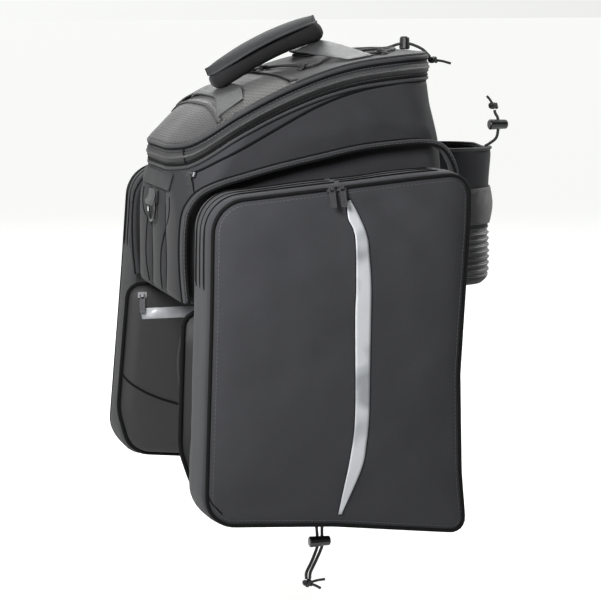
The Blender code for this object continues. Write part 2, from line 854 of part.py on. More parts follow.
def tab_mesh():
    """Pull tab that hangs from its top bar, which lies on the X axis at the origin."""
    half_bar = TAB_THICKNESS / 2
    half_width = TAB_WIDTH / 2
    plate = box_mesh((-half_width, -half_bar, half_bar - TAB_LENGTH), (half_width, half_bar, half_bar))
    upright = [edge for edge in plate.edges if abs(edge.verts[0].co.y - edge.verts[1].co.y) > half_bar]
    low = [edge for edge in upright if edge.verts[0].co.z < -half_bar]
    bmesh.ops.bevel(plate, geom=low, offset=TAB_WIDTH * 0.3, segments=2, profile=0.5, affect="EDGES")
    half_window = TAB_WINDOW / 2
    window_low = (-half_window, -TAB_THICKNESS, -half_bar - TAB_WINDOW)
    window = box_mesh(window_low, (half_window, TAB_THICKNESS, -half_bar))
    return joined_mesh("tab", plate, [(window, "DIFFERENCE")])


def add_copy(name, mesh, look, matrix):
    """Object that has its own copy of a mesh, placed by a matrix."""
    obj = bpy.data.objects.new(name, mesh.copy())
    obj.data.materials.clear()
    obj.data.materials.append(make_material(name, look))
    obj.matrix_world = matrix
    bag.objects.link(obj)
    return obj


def facing_frame(normal):
    """Turn that takes the local -Y to a normal and keeps the local X level."""
    n = Vector(normal).normalized()
    z_axis = (Vector((0, 0, 1)) - n * n.z).normalized()
    y_axis = -n
    return Matrix((y_axis.cross(z_axis), y_axis, z_axis)).transposed().to_4x4()


def make_zip_pull(names, meshes, place, normal, lean):
    """Slider with its back at a place, and the tab in its bridge, whose lower end stands out by a lean."""
    slider_turn = facing_frame(normal)
    pivot_height = SLIDER_BASE + (BRIDGE_HEIGHT - BRIDGE_WALL) / 2
    pivot = place + slider_turn @ Vector((0, -pivot_height, 0))
    level = Vector((normal.x, normal.y, 0))
    tab_turn = facing_frame(level) @ Matrix.Rotation(-lean, 4, "X")
    add_copy(names[0], meshes[0], "metal", Matrix.Translation(place) @ slider_turn)
    add_copy(names[1], meshes[1], "metal", Matrix.Translation(pivot) @ tab_turn)


def make_front_pulls(side, suffix, panel, meshes):
    """Two zip pulls at the top of a pannier's front panel."""
    tree = surface_of(panel)
    edge_y = PANNIER_SEAM_Y + GAP + PANEL_RIM
    first_x = PANNIER_FRONT + FRONT_PULL_SHARE * PANNIER_LENGTH
    for letter, x in (("a", first_x), ("b", first_x + FRONT_PULL_PITCH)):
        row = [Vector((x, PANNIER_TOP + DRAPE))]
        above = Vector(side_ring(row, side, edge_y + FRONT_PULL_INSET)[0])
        hit, normal, _, _ = tree.ray_cast(above, Vector((0, 0, -1)))
        names = ("front_slider_" + letter + "_" + suffix, "front_tab_" + letter + "_" + suffix)
        make_zip_pull(names, meshes, hit + normal * 2 * GAP, normal, TAB_LEAN)


def make_board_pull(side, suffix, board, meshes):
    """Zip pull at the top front corner of a board, on its wheel side."""
    tree = surface_of(board)
    row = [Vector((BOARD_FRONT + BOARD_PULL_INSET, BOARD_TOP - BOARD_PULL_DROP))]
    start = Vector(side_ring(row, side, 0.0, FAR_BOARD_SHIFT)[0])
    hit, normal, _, _ = tree.ray_cast(start, Vector((0, side, 0)))
    names = ("board_slider_" + suffix, "board_tab_" + suffix)
    make_zip_pull(names, meshes, hit + normal * 2 * GAP, normal, BOARD_LEAN)


def make_frame_pull(side, suffix):
    """Slider on the trunk's side above a zip frame, with a soft pull that hangs from it."""
    ahead = Vector((0, -side, 0))
    start = Vector((FRAME_PULL_X, side * TRUNK_WIDTH, FRAME_PULL_Z))
    seat, normal, _, _ = trunk_tree.ray_cast(start, ahead)
    length, width, height = FRAME_SLIDER
    bm = box_mesh((-length / 2, -height, -width / 2), (length / 2, 0, width / 2))
    bmesh.ops.bevel(bm, geom=bm.edges[:], offset=0.001, segments=1, profile=0.5, affect="EDGES")
    place = Matrix.Translation(seat + normal * 2 * GAP) @ facing_frame(normal)
    bmesh.ops.transform(bm, matrix=place, verts=bm.verts)
    add_object("frame_slider_" + suffix, bm, "metal")
    path = [seat + normal * (height + THIN)]
    for drop, stand in FRAME_PULL_RUN:
        point, out, _, _ = trunk_tree.ray_cast(start - Vector((drop * FRAME_PULL_LEAN, 0, drop)), ahead)
        path.append(point + out * stand)
    across = normal.cross(Vector((0, 0, -1))).normalized() * FRAME_PULL_WIDTH
    make_ribbon("frame_pull_" + suffix, path, across, WEBBING, "cord")


def make_lid_slider():
    """Plain zip slider at the middle of the lid's rear, which the photograph doesn't show."""
    x = LID_REAR + BAND_BULGE + GAP
    z = rim_height(LID_REAR) + SEAM_GAP + BAND_HEIGHT / 2
    low = (x, -SLIDER_LENGTH / 2, z - SLIDER_WIDTH / 2)
    high = (x + LID_SLIDER_DEPTH, SLIDER_LENGTH / 2, z + SLIDER_WIDTH / 2)
    bm = box_mesh(low, high)
    add_object("lid_slider", bm, "metal")


def make_grip():
    """Padded grip over the lid, a loft through cross-sections that follow the lid's slope."""
    rings = []
    for along, bow, width, thickness in GRIP_SECTIONS:
        x, z = grip_line(along, bow)
        ring = []
        for i in range(GRIP_SIDES):
            angle = 2 * math.pi * i / GRIP_SIDES
            across = GRIP_WIDTH / 2 * width * math.cos(angle)
            up = GRIP_THICKNESS / 2 * thickness * math.sin(angle)
            ring.append((x - up * GRIP_SLOPE, across, z + up))
        rings.append(ring)
    bm = loft(rings, cap_first=True, cap_last=True)
    return add_object("handle_grip", bm, "dark_cloth")


def grip_line(along, bow):
    """Middle of the grip at a share along it."""
    x = GRIP_FRONT + along * GRIP_LENGTH
    foot = crest_height(GRIP_FRONT) + GRIP_CLEARANCE + GRIP_THICKNESS / 2
    return x, foot + along * GRIP_LENGTH * GRIP_SLOPE + bow * GRIP_BOW


def grip_underside(x):
    """Height of the underside of the grip, level beyond its ends."""
    line = []
    for along, bow, _, thickness in GRIP_SECTIONS:
        middle_x, z = grip_line(along, bow)
        drop = GRIP_THICKNESS / 2 * thickness
        line.append((middle_x + drop * GRIP_SLOPE, z - drop))
    if x <= line[0][0]:
        return line[0][1]
    for (low_x, low_z), (high_x, high_z) in zip(line, line[1:]):
        if x <= high_x:
            return mix(low_z, high_z, (x - low_x) / (high_x - low_x))
    return line[-1][1] + (x - line[-1][0]) * GRIP_SLOPE


def make_pad():
    """Pad sewn round the top of the grip: the upper half of a ring round its cross-sections."""
    rings = []
    for along, bow, width, thickness in GRIP_SECTIONS[1:-1]:
        x, z = grip_line(along, bow)
        ring = []
        angles = [PAD_START + (math.pi - 2 * PAD_START) * i / PAD_STEPS for i in range(PAD_STEPS + 1)]
        for grow, order in ((GAP * 2, angles), (PAD_THICKNESS, reversed(angles))):
            for angle in order:
                across = (GRIP_WIDTH / 2 * width + grow) * math.cos(angle)
                up = (GRIP_THICKNESS / 2 * thickness + grow) * math.sin(angle)
                ring.append((x - up * GRIP_SLOPE, across, z + up))
        rings.append(ring)
    bm = loft(rings, cap_first=True, cap_last=True)
    return add_object("handle_pad", bm, "moulded")


def make_ribbon(name, path, across, thickness, look):
    """Flat band along a path. across: the vector from edge to edge, or one for each point of the path."""
    rings = []
    for i, point in enumerate(path):
        wide = across[i] if isinstance(across, list) else across
        half = wide / 2
        run = path[min(i + 1, len(path) - 1)] - path[max(i - 1, 0)]
        normal = run.cross(wide).normalized() * thickness
        rings.append([point - half, point + half, point + half + normal, point - half + normal])
    return add_object(name, loft(rings, cap_first=True, cap_last=True), look)


def make_strap(name, along, lean, spread):
    """Webbing that rises from one side of the lid, passes under the grip and goes down the other side."""
    x = GRIP_FRONT + along * GRIP_LENGTH
    half = STRAP_WIDTH / 2
    steps = (-half, -half / 2, 0, half / 2, half)
    below = [grip_underside(x + step) - step * GRIP_SLOPE for step in steps]
    under = min(below) - 2 * GAP - WEBBING
    arch = [(-share, up) for share, up in STRAP_ARCH]
    arch += [(share, up) for share, up in reversed(STRAP_ARCH[:-1])]
    path = []
    across = []
    for share, up in arch:
        y = -spread * share
        middle = mix(x + lean, x, up)
        rise = lid_surface_height(middle + half, y) - lid_surface_height(middle - half, y)
        slope = mix(rise / STRAP_WIDTH, GRIP_SLOPE, up)
        ground = max(lid_surface_height(middle + step, y) - step * slope for step in steps)
        ground += STRAP_FOOT_CLEARANCE
        path.append(Vector((middle, y, max(ground, mix(ground, under, up)))))
        across.append(Vector((STRAP_WIDTH, 0, STRAP_WIDTH * slope)))
    return make_ribbon(name, path, across, WEBBING, "webbing")


def lid_surface_height(x, y):
    """Top of the lid over a point, or its edge there where the point is beyond the lid."""
    hit, _, _, _ = lid_tree.ray_cast(Vector((x, y, 1.0)), Vector((0, 0, -1)))
    return hit.z if hit else crest_height(x) - dome_rise(x)


def make_ring(name, place, side):
    """D ring that hangs from its straight bar, whose middle is at the place."""
    points = []
    half = RING_WIDTH / 2
    corner = RING_HEIGHT * 0.35
    for y, z in ((-half, 0), (half, 0)):
        points.append((y, z))
    for i in range(RING_STEPS + 1):
        angle = -math.pi * i / RING_STEPS
        points.append((half * math.cos(angle), -corner + (RING_HEIGHT - corner) * math.sin(angle)))
    curve = bpy.data.curves.new(name, "CURVE")
    curve.dimensions = "3D"
    curve.bevel_depth = RING_WIRE
    curve.bevel_resolution = 2
    spline = curve.splines.new("POLY")
    spline.points.add(len(points) - 1)
    for point, (y, z) in zip(spline.points, points):
        point.co = (0, side * y, z, 1)
    spline.use_cyclic_u = True
    obj = bpy.data.objects.new(name, curve)
    obj.data.materials.append(make_material(name, "plastic"))
    obj.location = place
    bag.objects.link(obj)
    return obj


def ring_place(side, height):
    """Middle of a ring's bar, whose loop touches the trunk's wall. side is -1 in front and 1 behind."""
    seat = RING_WIRE + RING_CLEARANCE + WEBBING + 2 * GAP
    reaches = []
    for share in (-0.5, 0, 0.5):
        for up in (-0.25, 0, 0.5, 1):
            start = Vector((side, LOOP_WIDTH * share, height + LOOP_HEIGHT * up))
            wall, _, _, _ = trunk_tree.ray_cast(start, Vector((-side, 0, 0)))
            reaches.append(wall.x * side)
    return Vector((side * (max(reaches) + seat), 0, height))


def make_ring_loop(name, place, side):
    """Folded webbing that holds a ring's bar. side is -1 in front and 1 behind."""
    inner = RING_WIRE + RING_CLEARANCE
    path = []
    wall_x = side * (inner + WEBBING)
    path.append(Vector((-wall_x, 0, LOOP_HEIGHT)))
    for i in range(LOOP_STEPS + 1):
        angle = math.pi * i / LOOP_STEPS
        reach = inner + WEBBING
        path.append(Vector((-side * reach * math.cos(angle), 0, -reach * math.sin(angle))))
    path.append(Vector((-wall_x + side * (WEBBING * 2 + 2 * GAP), 0, LOOP_HEIGHT * 0.45)))
    path.append(Vector((-wall_x + side * (WEBBING * 2 + GAP), 0, LOOP_HEIGHT)))
    path = [point + place for point in path]
    return make_ribbon(name, path, Vector((0, LOOP_WIDTH, 0)) * side, WEBBING, "webbing")


def pocket_plan(grow):
    """Outline of the bottle pocket: square against the trunk, round behind."""
    counts = (3, 5, 3, 1, 3)
    return rounded_plan(
        POCKET_FRONT, POCKET_REAR + grow, POCKET_WIDTH / 2 + grow, SMALL_ROUND, POCKET_RADIUS + grow, counts
    )


def make_pocket():
    """Insulated bottle pocket, open at the top, with ribs round its lower part."""
    rings = []
    for height, rib in POCKET_SECTIONS:
        z = POCKET_BOTTOM + height * POCKET_HEIGHT
        rings.append([(point.x, point.y, z) for point in pocket_plan(rib * RIB_DEPTH)])
    return add_wall(add_object("bottle_pocket", loft(rings, cap_first=True), "cloth"), POCKET_WALL)


def make_light_strap():
    """Band round the pocket that stands off to a point behind, to hang a light on."""
    plan = [point for point in pocket_plan(LIGHT_STRAP_SEAT) if point.x > POCKET_FRONT + POCKET_LENGTH * 0.3]
    plan.sort(key=lambda point: math.atan2(point.y, point.x - POCKET_FRONT))
    rings = []
    for point in plan:
        rearward = max(0.0, (point.x - POCKET_FRONT) / POCKET_LENGTH - 0.7) / 0.3
        outward = Vector((point.x - POCKET_FRONT - POCKET_LENGTH / 2, point.y)).normalized()
        ring = []
        for height, stand in LIGHT_STRAP_SECTIONS:
            place = point + outward * stand * LIGHT_STRAP_STAND * rearward
            ring.append((place.x, place.y, LIGHT_STRAP_BOTTOM + height * LIGHT_STRAP_HEIGHT))
        rings.append(ring)
    bm = loft(rings, closed=False)
    return add_wall(add_object("light_strap", bm, "dark_cloth"), WEBBING)


def make_patch():
    """Padded cloth patch across the front of the trunk, under the lid."""
    tree = surface_of(trunk)
    line = []
    for i in range(PATCH_STEPS + 1):
        y = PATCH_WIDTH * (0.5 - i / PATCH_STEPS)
        low = RIM_FRONT_HEIGHT - PATCH_DROP
        heights = (low - PATCH_HEIGHT, low - PATCH_HEIGHT * 0.5, low)
        line.append([Vector((TRUNK_FRONT - 0.1, y, z)) for z in heights])
    rings = lay_ribbon(tree, line, Vector((1, 0, 0)), GAP + PATCH_THICKNESS)
    bm = loft(rings, closed=False)
    return add_wall(add_object("front_patch", bm, "webbing"), PATCH_THICKNESS)


def tube(name, points, diameter, look="cord"):
    """Round cord through points on one smooth curve, as a polygon line."""
    path = smooth_path([Vector(point) for point in points], diameter * 2.5)
    curve = bpy.data.curves.new(name, "CURVE")
    curve.dimensions = "3D"
    curve.bevel_depth = diameter / 2
    curve.bevel_resolution = 1
    curve.use_fill_caps = True
    spline = curve.splines.new("POLY")
    spline.points.add(len(path) - 1)
    for point, place in zip(spline.points, path):
        point.co = (*place, 1)
    obj = bpy.data.objects.new(name, curve)
    obj.data.materials.append(make_material(name, look))
    bag.objects.link(obj)
    return obj


def smooth_path(points, step):
    """Points about a step apart on a smooth curve through the points given."""
    ends = [points[0] * 2 - points[1]] + points + [points[-1] * 2 - points[-2]]
    path = []
    for a, b, c, d in zip(ends, ends[1:], ends[2:], ends[3:]):
        count = max(1, round((c - b).length / step))
        for i in range(count):
            t = i / count
            low = b * 2 + (c - a) * t + (a * 2 - b * 5 + c * 4 - d) * t * t
            path.append((low + (b * 3 - a - c * 3 + d) * t * t * t) / 2)
    path.append(points[-1])
    return path


def make_lock(name, middle, length, barrel_axis, bore_axis, bores):
    """Barrel cord lock with bores across it that the cord runs through. bores: places along it."""
    barrel = bmesh.new()
    end_radius = LOCK_RADIUS * LOCK_TAPER
    bmesh.ops.create_cone(
        barrel, cap_ends=True, segments=12, radius1=LOCK_RADIUS, radius2=end_radius, depth=length
    )
    bmesh.ops.bevel(
        barrel,
        geom=[edge for edge in barrel.edges if abs(edge.verts[0].co.z - edge.verts[1].co.z) < GAP],
        offset=LOCK_BEVEL,
        segments=1,
        profile=0.5,
        affect="EDGES",
    )
    others = []
    bore_radius = CORD / 2 + LOCK_CLEARANCE
    for shift in bores:
        bore = bmesh.new()
        bmesh.ops.create_cone(
            bore, cap_ends=True, segments=10, radius1=bore_radius, radius2=bore_radius, depth=LOCK_RADIUS * 4
        )
        across = Matrix.Translation((0, 0, shift)) @ Matrix.Rotation(math.pi / 2, 4, "Y")
        bmesh.ops.transform(bore, matrix=across, verts=bore.verts)
        others.append((bore, "DIFFERENCE"))
    z_axis = Vector(barrel_axis).normalized()
    x_axis = (Vector(bore_axis) - z_axis * z_axis.dot(Vector(bore_axis))).normalized()
    turn = Matrix((x_axis, z_axis.cross(x_axis), z_axis)).transposed().to_4x4()
    placed = Matrix.Translation(Vector(middle)) @ turn
    return add_copy(name, joined_mesh(name, barrel, others), "plastic", placed)


def make_knot(name, middle, tails):
    """Knot at a cord's end with its short tails."""
    ball = bmesh.new()
    bmesh.ops.create_icosphere(ball, subdivisions=2, radius=KNOT_RADIUS)
    bmesh.ops.scale(ball, vec=(1.0, 0.8, 0.8), verts=ball.verts)
    others = []
    for tail in tails:
        end = Vector(tail) - Vector(middle)
        stub = bmesh.new()
        bmesh.ops.create_cone(
            stub, cap_ends=True, segments=8, radius1=THIN_CORD / 2, radius2=THIN_CORD / 2, depth=end.length
        )
        turn = end.to_track_quat("Z", "Y").to_matrix().to_4x4()
        bmesh.ops.transform(stub, matrix=Matrix.Translation(end / 2) @ turn, verts=stub.verts)
        others.append((stub, "UNION"))
    return add_copy(name, joined_mesh(name, ball, others), "cord", Matrix.Translation(Vector(middle)))


def on_lid(table):
    """Points of a cord that lies on the lid."""
    points = []
    steps = (-CORD / 2, 0, CORD / 2)
    for x, y in table:
        ground = max(lid_surface_height(x + d, y + e) for d in steps for e in steps)
        points.append(Vector((x, y, ground + CORD / 2 + 2 * GAP)))
    return points


def make_cord_loop(name, points, index):
    """Small webbing arch over a lid cord, square to its run at one of its points."""
    place = points[index]
    run = points[index + 1] - points[index - 1]
    run.z = 0
    run.normalize()
    span = Vector((-run.y, run.x, 0))
    path = []
    for share, up in LOOP_ARCH:
        point = place + span * share * CORD
        grounds = []
        for d in (-CORD_LOOP_WIDTH / 2, 0, CORD_LOOP_WIDTH / 2):
            grounds.append(lid_surface_height(point.x + run.x * d, point.y + run.y * d))
        ground = max(grounds)
        top = max(place.z + CORD / 2 + 2 * GAP, ground + GAP)
        path.append(Vector((point.x, point.y, mix(ground + 2 * GAP, top, up))))
    return make_ribbon(name, path, run * -CORD_LOOP_WIDTH, THIN, "webbing")


clear_scene()
bag = new_collection("bicycle_trunk_bag")
cutters = new_collection("cutters", hidden=True)

make_plate()
trunk = make_trunk()
make_lid_band()
lid_top = make_lid_top()
lid_tree = surface_of(lid_top)
make_patch()
for side, suffix in ((-1, "near"), (1, "far")):
    make_frame(side, "zip_frame_" + suffix)
slider = slider_mesh()
tab = tab_mesh()
trunk_tree = surface_of(trunk)
for side, suffix in ((-1, "near"), (1, "far")):
    make_frame_pull(side, suffix)
    make_pannier_body(side, suffix)
    panel = make_pannier_front(side, suffix)
    make_stripe(side, suffix, panel)
    make_front_pulls(side, suffix, panel, (slider, tab))
    board = make_board(side, suffix)
    make_board_strip(side, suffix, board)
    make_board_pull(side, suffix, board, (slider, tab))
make_lid_slider()
make_grip()
make_pad()
for name, along, lean, spread in HANDLE_STRAPS:
    make_strap(name, along, lean, spread)
front_place = ring_place(-1, FRONT_RING_HEIGHT)
make_ring("front_ring", front_place, 1)
make_ring_loop("front_ring_loop", front_place, -1)
rear_place = ring_place(1, REAR_RING_HEIGHT)
make_ring("rear_ring", rear_place, 1)
make_ring_loop("rear_ring_loop", rear_place, 1)
make_pocket()
make_light_strap()

cord_a = on_lid(LID_CORD_A)
cord_b = on_lid(LID_CORD_B)
tube("lid_cord_a", cord_a, CORD)
tube("lid_cord_b", cord_b + [Vector(point) for point in LID_CORD_REAR], CORD)
make_cord_loop("lid_cord_loop_1", cord_a, 1)
make_cord_loop("lid_cord_loop_2", cord_a, 4)
make_cord_loop("lid_cord_loop_3", cord_a, 13)
make_cord_loop("lid_cord_loop_4", cord_b, 1)
make_lock("lid_cord_lock", LID_LOCK, LID_LOCK_LENGTH, (0, 0, 1), (1, LID_LOCK_TURN, 0), (LID_LOCK_BORE,))
make_knot("lid_cord_knot", LID_KNOT, LID_TAILS)
tube("pocket_cord", POCKET_CORD, CORD)
make_lock("pocket_cord_lock", POCKET_LOCK, POCKET_LOCK_LENGTH, (1, 0, 0), (0, 0, 1), (0,))
make_knot("pocket_cord_knot", POCKET_KNOT, POCKET_TAILS)
body_tree = surface_of(bpy.data.objects["pannier_body_near"])
for name, table in (("pannier_cord_a", PANNIER_CORD_A), ("pannier_cord_b", PANNIER_CORD_B)):
    below = Vector((table[0][0], PANNIER_CORD_Y, -1))
    bottom, _, _, _ = body_tree.ray_cast(below, Vector((0, 0, 1)))
    points = [Vector((table[0][0], PANNIER_CORD_Y, bottom.z - 2 * GAP))]
    points += [Vector((x, PANNIER_CORD_Y, z)) for x, z in table[1:]]
    tube(name, points, CORD)
make_lock("pannier_cord_lock", PANNIER_LOCK, PANNIER_LOCK_LENGTH, (1, 0, 0), (0, 0, 1), PANNIER_LOCK_BORES)
make_knot("pannier_cord_knot", PANNIER_KNOT, PANNIER_TAILS)
bpy.data.meshes.remove(slider)
bpy.data.meshes.remove(tab)
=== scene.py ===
"""Looks of the bicycle trunk bag: cloth, seams, zips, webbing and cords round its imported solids."""

import math

import bmesh
import bpy
from mathutils import Matrix, Vector, noise
from mathutils.bvhtree import BVHTree


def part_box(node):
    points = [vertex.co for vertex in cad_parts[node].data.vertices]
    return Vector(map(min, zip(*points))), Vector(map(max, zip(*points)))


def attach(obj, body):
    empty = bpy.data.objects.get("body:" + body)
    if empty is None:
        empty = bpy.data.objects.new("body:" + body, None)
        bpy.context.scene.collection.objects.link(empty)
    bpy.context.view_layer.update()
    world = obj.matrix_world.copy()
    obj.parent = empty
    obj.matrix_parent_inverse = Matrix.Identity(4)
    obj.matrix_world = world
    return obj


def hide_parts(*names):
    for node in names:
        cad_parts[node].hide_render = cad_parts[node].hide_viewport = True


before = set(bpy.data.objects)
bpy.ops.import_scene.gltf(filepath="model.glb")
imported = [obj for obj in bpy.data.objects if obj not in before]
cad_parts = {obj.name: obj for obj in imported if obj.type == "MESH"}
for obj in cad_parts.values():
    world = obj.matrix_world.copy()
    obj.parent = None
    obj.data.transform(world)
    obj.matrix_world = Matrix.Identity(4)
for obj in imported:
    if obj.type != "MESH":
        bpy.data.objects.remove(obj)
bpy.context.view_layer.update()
bag = bpy.data.collections.new("bag_looks")
bpy.context.scene.collection.children.link(bag)

# Camera
LOOK_AT = Vector((0.012, 0.0, -0.010))
CAMERA_PLACE = Vector((-0.5994, -1.9604, 0.310))
PICTURE = 601
FOCAL_PIXELS = 2050.0
SENSOR = 36.0

forward = (LOOK_AT - CAMERA_PLACE).normalized()
right = forward.cross(Vector((0, 0, 1))).normalized()
up = right.cross(forward)
camera_data = bpy.data.cameras.new("camera")
camera_data.sensor_width = SENSOR
camera_data.lens = FOCAL_PIXELS * SENSOR / PICTURE
camera_data.clip_start = 0.05
camera_data.clip_end = 50.0
camera = bpy.data.objects.new("camera", camera_data)
turn = Matrix((right, up, -forward)).transposed().to_4x4()
camera.matrix_world = Matrix.Translation(CAMERA_PLACE) @ turn
bpy.context.scene.collection.objects.link(camera)
bpy.context.scene.camera = camera

# Sizes, as in the part's source
GAP = 0.0003
SEAM_GAP = 0.0008
TRUNK_FRONT = -0.138
TRUNK_LENGTH = 0.270
TRUNK_WIDTH = 0.196
TRUNK_FRONT_RADIUS = 0.016
TRUNK_REAR_RADIUS = 0.020
BOTTOM_ROUND = 0.006
FOLD_DEPTH = 0.006
FOLD_PITCH = 0.056
RIM_FRONT_HEIGHT = 0.131
RIM_RISE = 0.085
LID_FRONT = -0.134
LID_LENGTH = 0.255
LID_FRONT_RADIUS = 0.068
LID_REAR_RADIUS = 0.042
BAND_HEIGHT = 0.021
BAND_BULGE = 0.0015
DOME_RISE = 0.027
SPINE_INSET = 0.060
LID_SKIRT = 0.003
FRAME_FRONT = -0.1385
FRAME_LENGTH = 0.2765
FRAME_BOTTOM = 0.010
FRAME_HEIGHT = 0.150
FRAME_LIP = 0.005
FRAME_DEPTH = 0.013
PANNIER_FRONT = -0.140
PANNIER_LENGTH = 0.262
PANNIER_TOP = 0.137
PANNIER_HEIGHT = 0.352
PANNIER_DEPTH = 0.086
PANNIER_CORNER = 0.030
PANNIER_TUCK = 0.0125
PANEL_RIM = 0.0017
PANEL_CROWN = 0.013
BOARD_FRONT = -0.138
BOARD_LENGTH = 0.246
BOARD_TOP = -0.002
BOARD_HEIGHT = 0.186
BOARD_CROWN = 0.012
FAR_SHIFT = 0.008
FAR_SWING = -0.020
FAR_BOARD_SHIFT = -0.010
GRIP_FRONT = -0.079
GRIP_LENGTH = 0.110
GRIP_WIDTH = 0.036
GRIP_THICKNESS = 0.021
GRIP_CLEARANCE = 0.0030
GRIP_BOW = 0.008
GRIP_SLOPE = 0.44
PAD_THICKNESS = 0.0045
POCKET_LENGTH = 0.076
POCKET_WIDTH = 0.090
POCKET_RADIUS = 0.036
POCKET_BOTTOM = 0.004
POCKET_HEIGHT = 0.138
RIB_DEPTH = 0.0022
CORD = 0.003
THIN_CORD = 0.0026
PANNIER_CORD_Y = -0.140

TRUNK_BASE = 0.0063
TRUNK_REAR = TRUNK_FRONT + TRUNK_LENGTH
LID_REAR = LID_FRONT + LID_LENGTH
SIDE_Y = TRUNK_WIDTH / 2
PANNIER_BACK_Y = SIDE_Y + GAP
PANNIER_SEAM_Y = PANNIER_BACK_Y + PANNIER_DEPTH
PANNIER_BOTTOM = PANNIER_TOP - PANNIER_HEIGHT
POCKET_FRONT = TRUNK_REAR + GAP
POCKET_REAR = POCKET_FRONT + POCKET_LENGTH
SIDES = ((-1, "near"), (1, "far"))

# Walls of the cloth, and radii of the piping and cords sewn on it
TRUNK_WALL = 0.0022
GUSSET_WALL = 0.0018
PANEL_WALL = 0.0016
POCKET_WALL = 0.003
STRIPE_WALL = 0.0005
LID_PIPING = 0.0019
PANEL_PIPING = 0.0018
# Radius of the dark lines of painted shadow at the front folds' edges, also used for the band's seam piping
FOLD_SHADOW_AND_SEAM_RADIUS = 0.0017
TRUNK_PIPING = 0.0012
THIN_PIPING = 0.0007
BOARD_PIPING = 0.0021
BINDING = 0.0013
STITCH_PITCH = 0.0040
STITCH_LENGTH = 0.0026
PANEL_PIPING_INSET = 0.0012
PANEL_STITCH_INSET = 0.0060
STITCH_SIZE = 0.00035
BAND_STITCH_SIZE = 0.0003
BAND_STITCH_LINES = (0.22, 0.78)
LID_ZIP_WIDTH = 0.0085
ZIP_TAPE_THICKNESS = 0.0006
COIL_RADIUS = 0.0015
COIL_RISE = 0.0009
COIL_FLATNESS = 0.7
TAPE_LIFT = 0.0002
CORD_LIFT = 0.0004
PIPING_SINK = 0.35
# Share by which the front folds' lines of painted shadow sink into the cloth
FOLD_SHADOW_SINK = 0.78
BOARD_SINK = 0.4

# Fineness of the meshes
ROUND_SIDES = 8
CORD_SIDES = 10
MERGE_DISTANCE = 0.00002
LEAST_EDGE = 0.00001
INNERMOST_RING = 0.985
FLAT_ANGLE = 0.02
SHARP_ANGLE = math.radians(50)
RAY_START = 0.4

# Columns: height share, share of the way to the lid outline, inset share
TRUNK_SECTIONS = (
    (0.000, 0.00, 1.0), (0.045, 0.00, 0.0), (0.330, 0.00, 0.0), (0.560, 0.04, 0.0), (0.740, 0.28, 0.0),
    (0.880, 0.68, 0.0), (1.000, 1.00, 0.0),
)
RIM_CURVE = (
    (0.00, 0.00), (0.06, 0.06), (0.22, 0.39), (0.44, 0.70), (0.64, 0.89), (0.85, 0.98), (1.00, 1.00),
)
DOME_CURVE = (
    (0.00, 0.72), (0.10, 0.64), (0.22, 0.44), (0.44, 0.26), (0.64, 0.20), (0.85, 0.17), (1.00, 0.16),
)
FRAME_CURVE = (
    (0.010, 0.000), (0.002, 0.170), (0.000, 0.350), (0.006, 0.510), (0.020, 0.600), (0.060, 0.690),
    (0.130, 0.750), (0.230, 0.800), (0.340, 0.850), (0.490, 0.907), (0.640, 0.960), (0.780, 0.985),
    (0.870, 0.990), (0.935, 0.965), (0.975, 0.890), (1.000, 0.760), (0.996, 0.520), (0.990, 0.260),
    (0.985, 0.000),
)
PANNIER_CORNERS = (
    (0.978, 0.180, 2.20), (0.968, 0.450, 2.60), (1.000, 0.880, 1.60), (1.000, 1.000, 0.75),
    (0.800, 0.990, 1.60), (0.030, 0.940, 1.15), (0.022, 0.640, 2.60), (0.000, 0.170, 1.60),
    (0.000, 0.075, 1.05), (0.480, 0.050, 1.80), (1.000, 0.000, 0.50),
)
PANNIER_SECTIONS = ((0.00, 1.00), (0.19, 0.62), (0.38, 0.12), (0.70, 0.00), (0.97, 0.10), (1.00, 0.22))
PANEL_SECTIONS = ((0.00, 0.00), (0.04, 0.30), (0.14, 0.62), (0.34, 0.88), (0.64, 1.00), (1.00, 1.02))
GRIP_SECTIONS = (
    (0.00, 0.00, 0.55, 0.45), (0.03, 0.05, 0.80, 0.75), (0.12, 0.35, 0.96, 0.96), (0.35, 0.85, 1.00, 1.00),
    (0.60, 1.00, 1.00, 1.00), (0.85, 0.75, 1.00, 1.02), (0.96, 0.45, 0.92, 0.92), (1.00, 0.35, 0.66, 0.60),
)
BOARD_CORNERS = (
    (0.960, 0.500, 2.60), (1.000, 1.000, 0.40), (0.020, 1.000, 0.40), (0.000, 0.300, 2.00),
    (0.060, 0.060, 0.95), (0.480, 0.000, 1.60), (0.960, 0.030, 0.70),
)
BOARD_SECTIONS = ((0.00, 0.00), (0.006, 0.35), (0.03, 0.62), (0.10, 0.88), (0.50, 1.00), (1.00, 1.02))
POCKET_SECTIONS = (
    (0.00, -2.5), (0.03, -0.4), (0.07, 0.6), (0.42, 0.3), (0.70, 0.2), (0.94, 0.9), (1.00, 0.6),
)


# Shape helpers
def curve_value(table, share, column=1):
    """Value in a column of a table at a share in its first column, on a smooth curve."""
    shares = [row[0] for row in table]
    values = [row[column] for row in table]
    if share <= shares[0]:
        return values[0]
    if share >= shares[-1]:
        return values[-1]
    index = max(i for i in range(len(shares) - 1) if shares[i] <= share)

    def slope(i):
        low = max(i - 1, 0)
        high = min(i + 1, len(shares) - 1)
        return (values[high] - values[low]) / (shares[high] - shares[low])

    span = shares[index + 1] - shares[index]
    t = (share - shares[index]) / span
    start = values[index] * (1 + 2 * t) * (1 - t) ** 2 + slope(index) * span * t * (1 - t) ** 2
    end = values[index + 1] * t * t * (3 - 2 * t) - slope(index + 1) * span * t * t * (1 - t)
    return start + end


def mix(a, b, share):
    return a + (b - a) * share


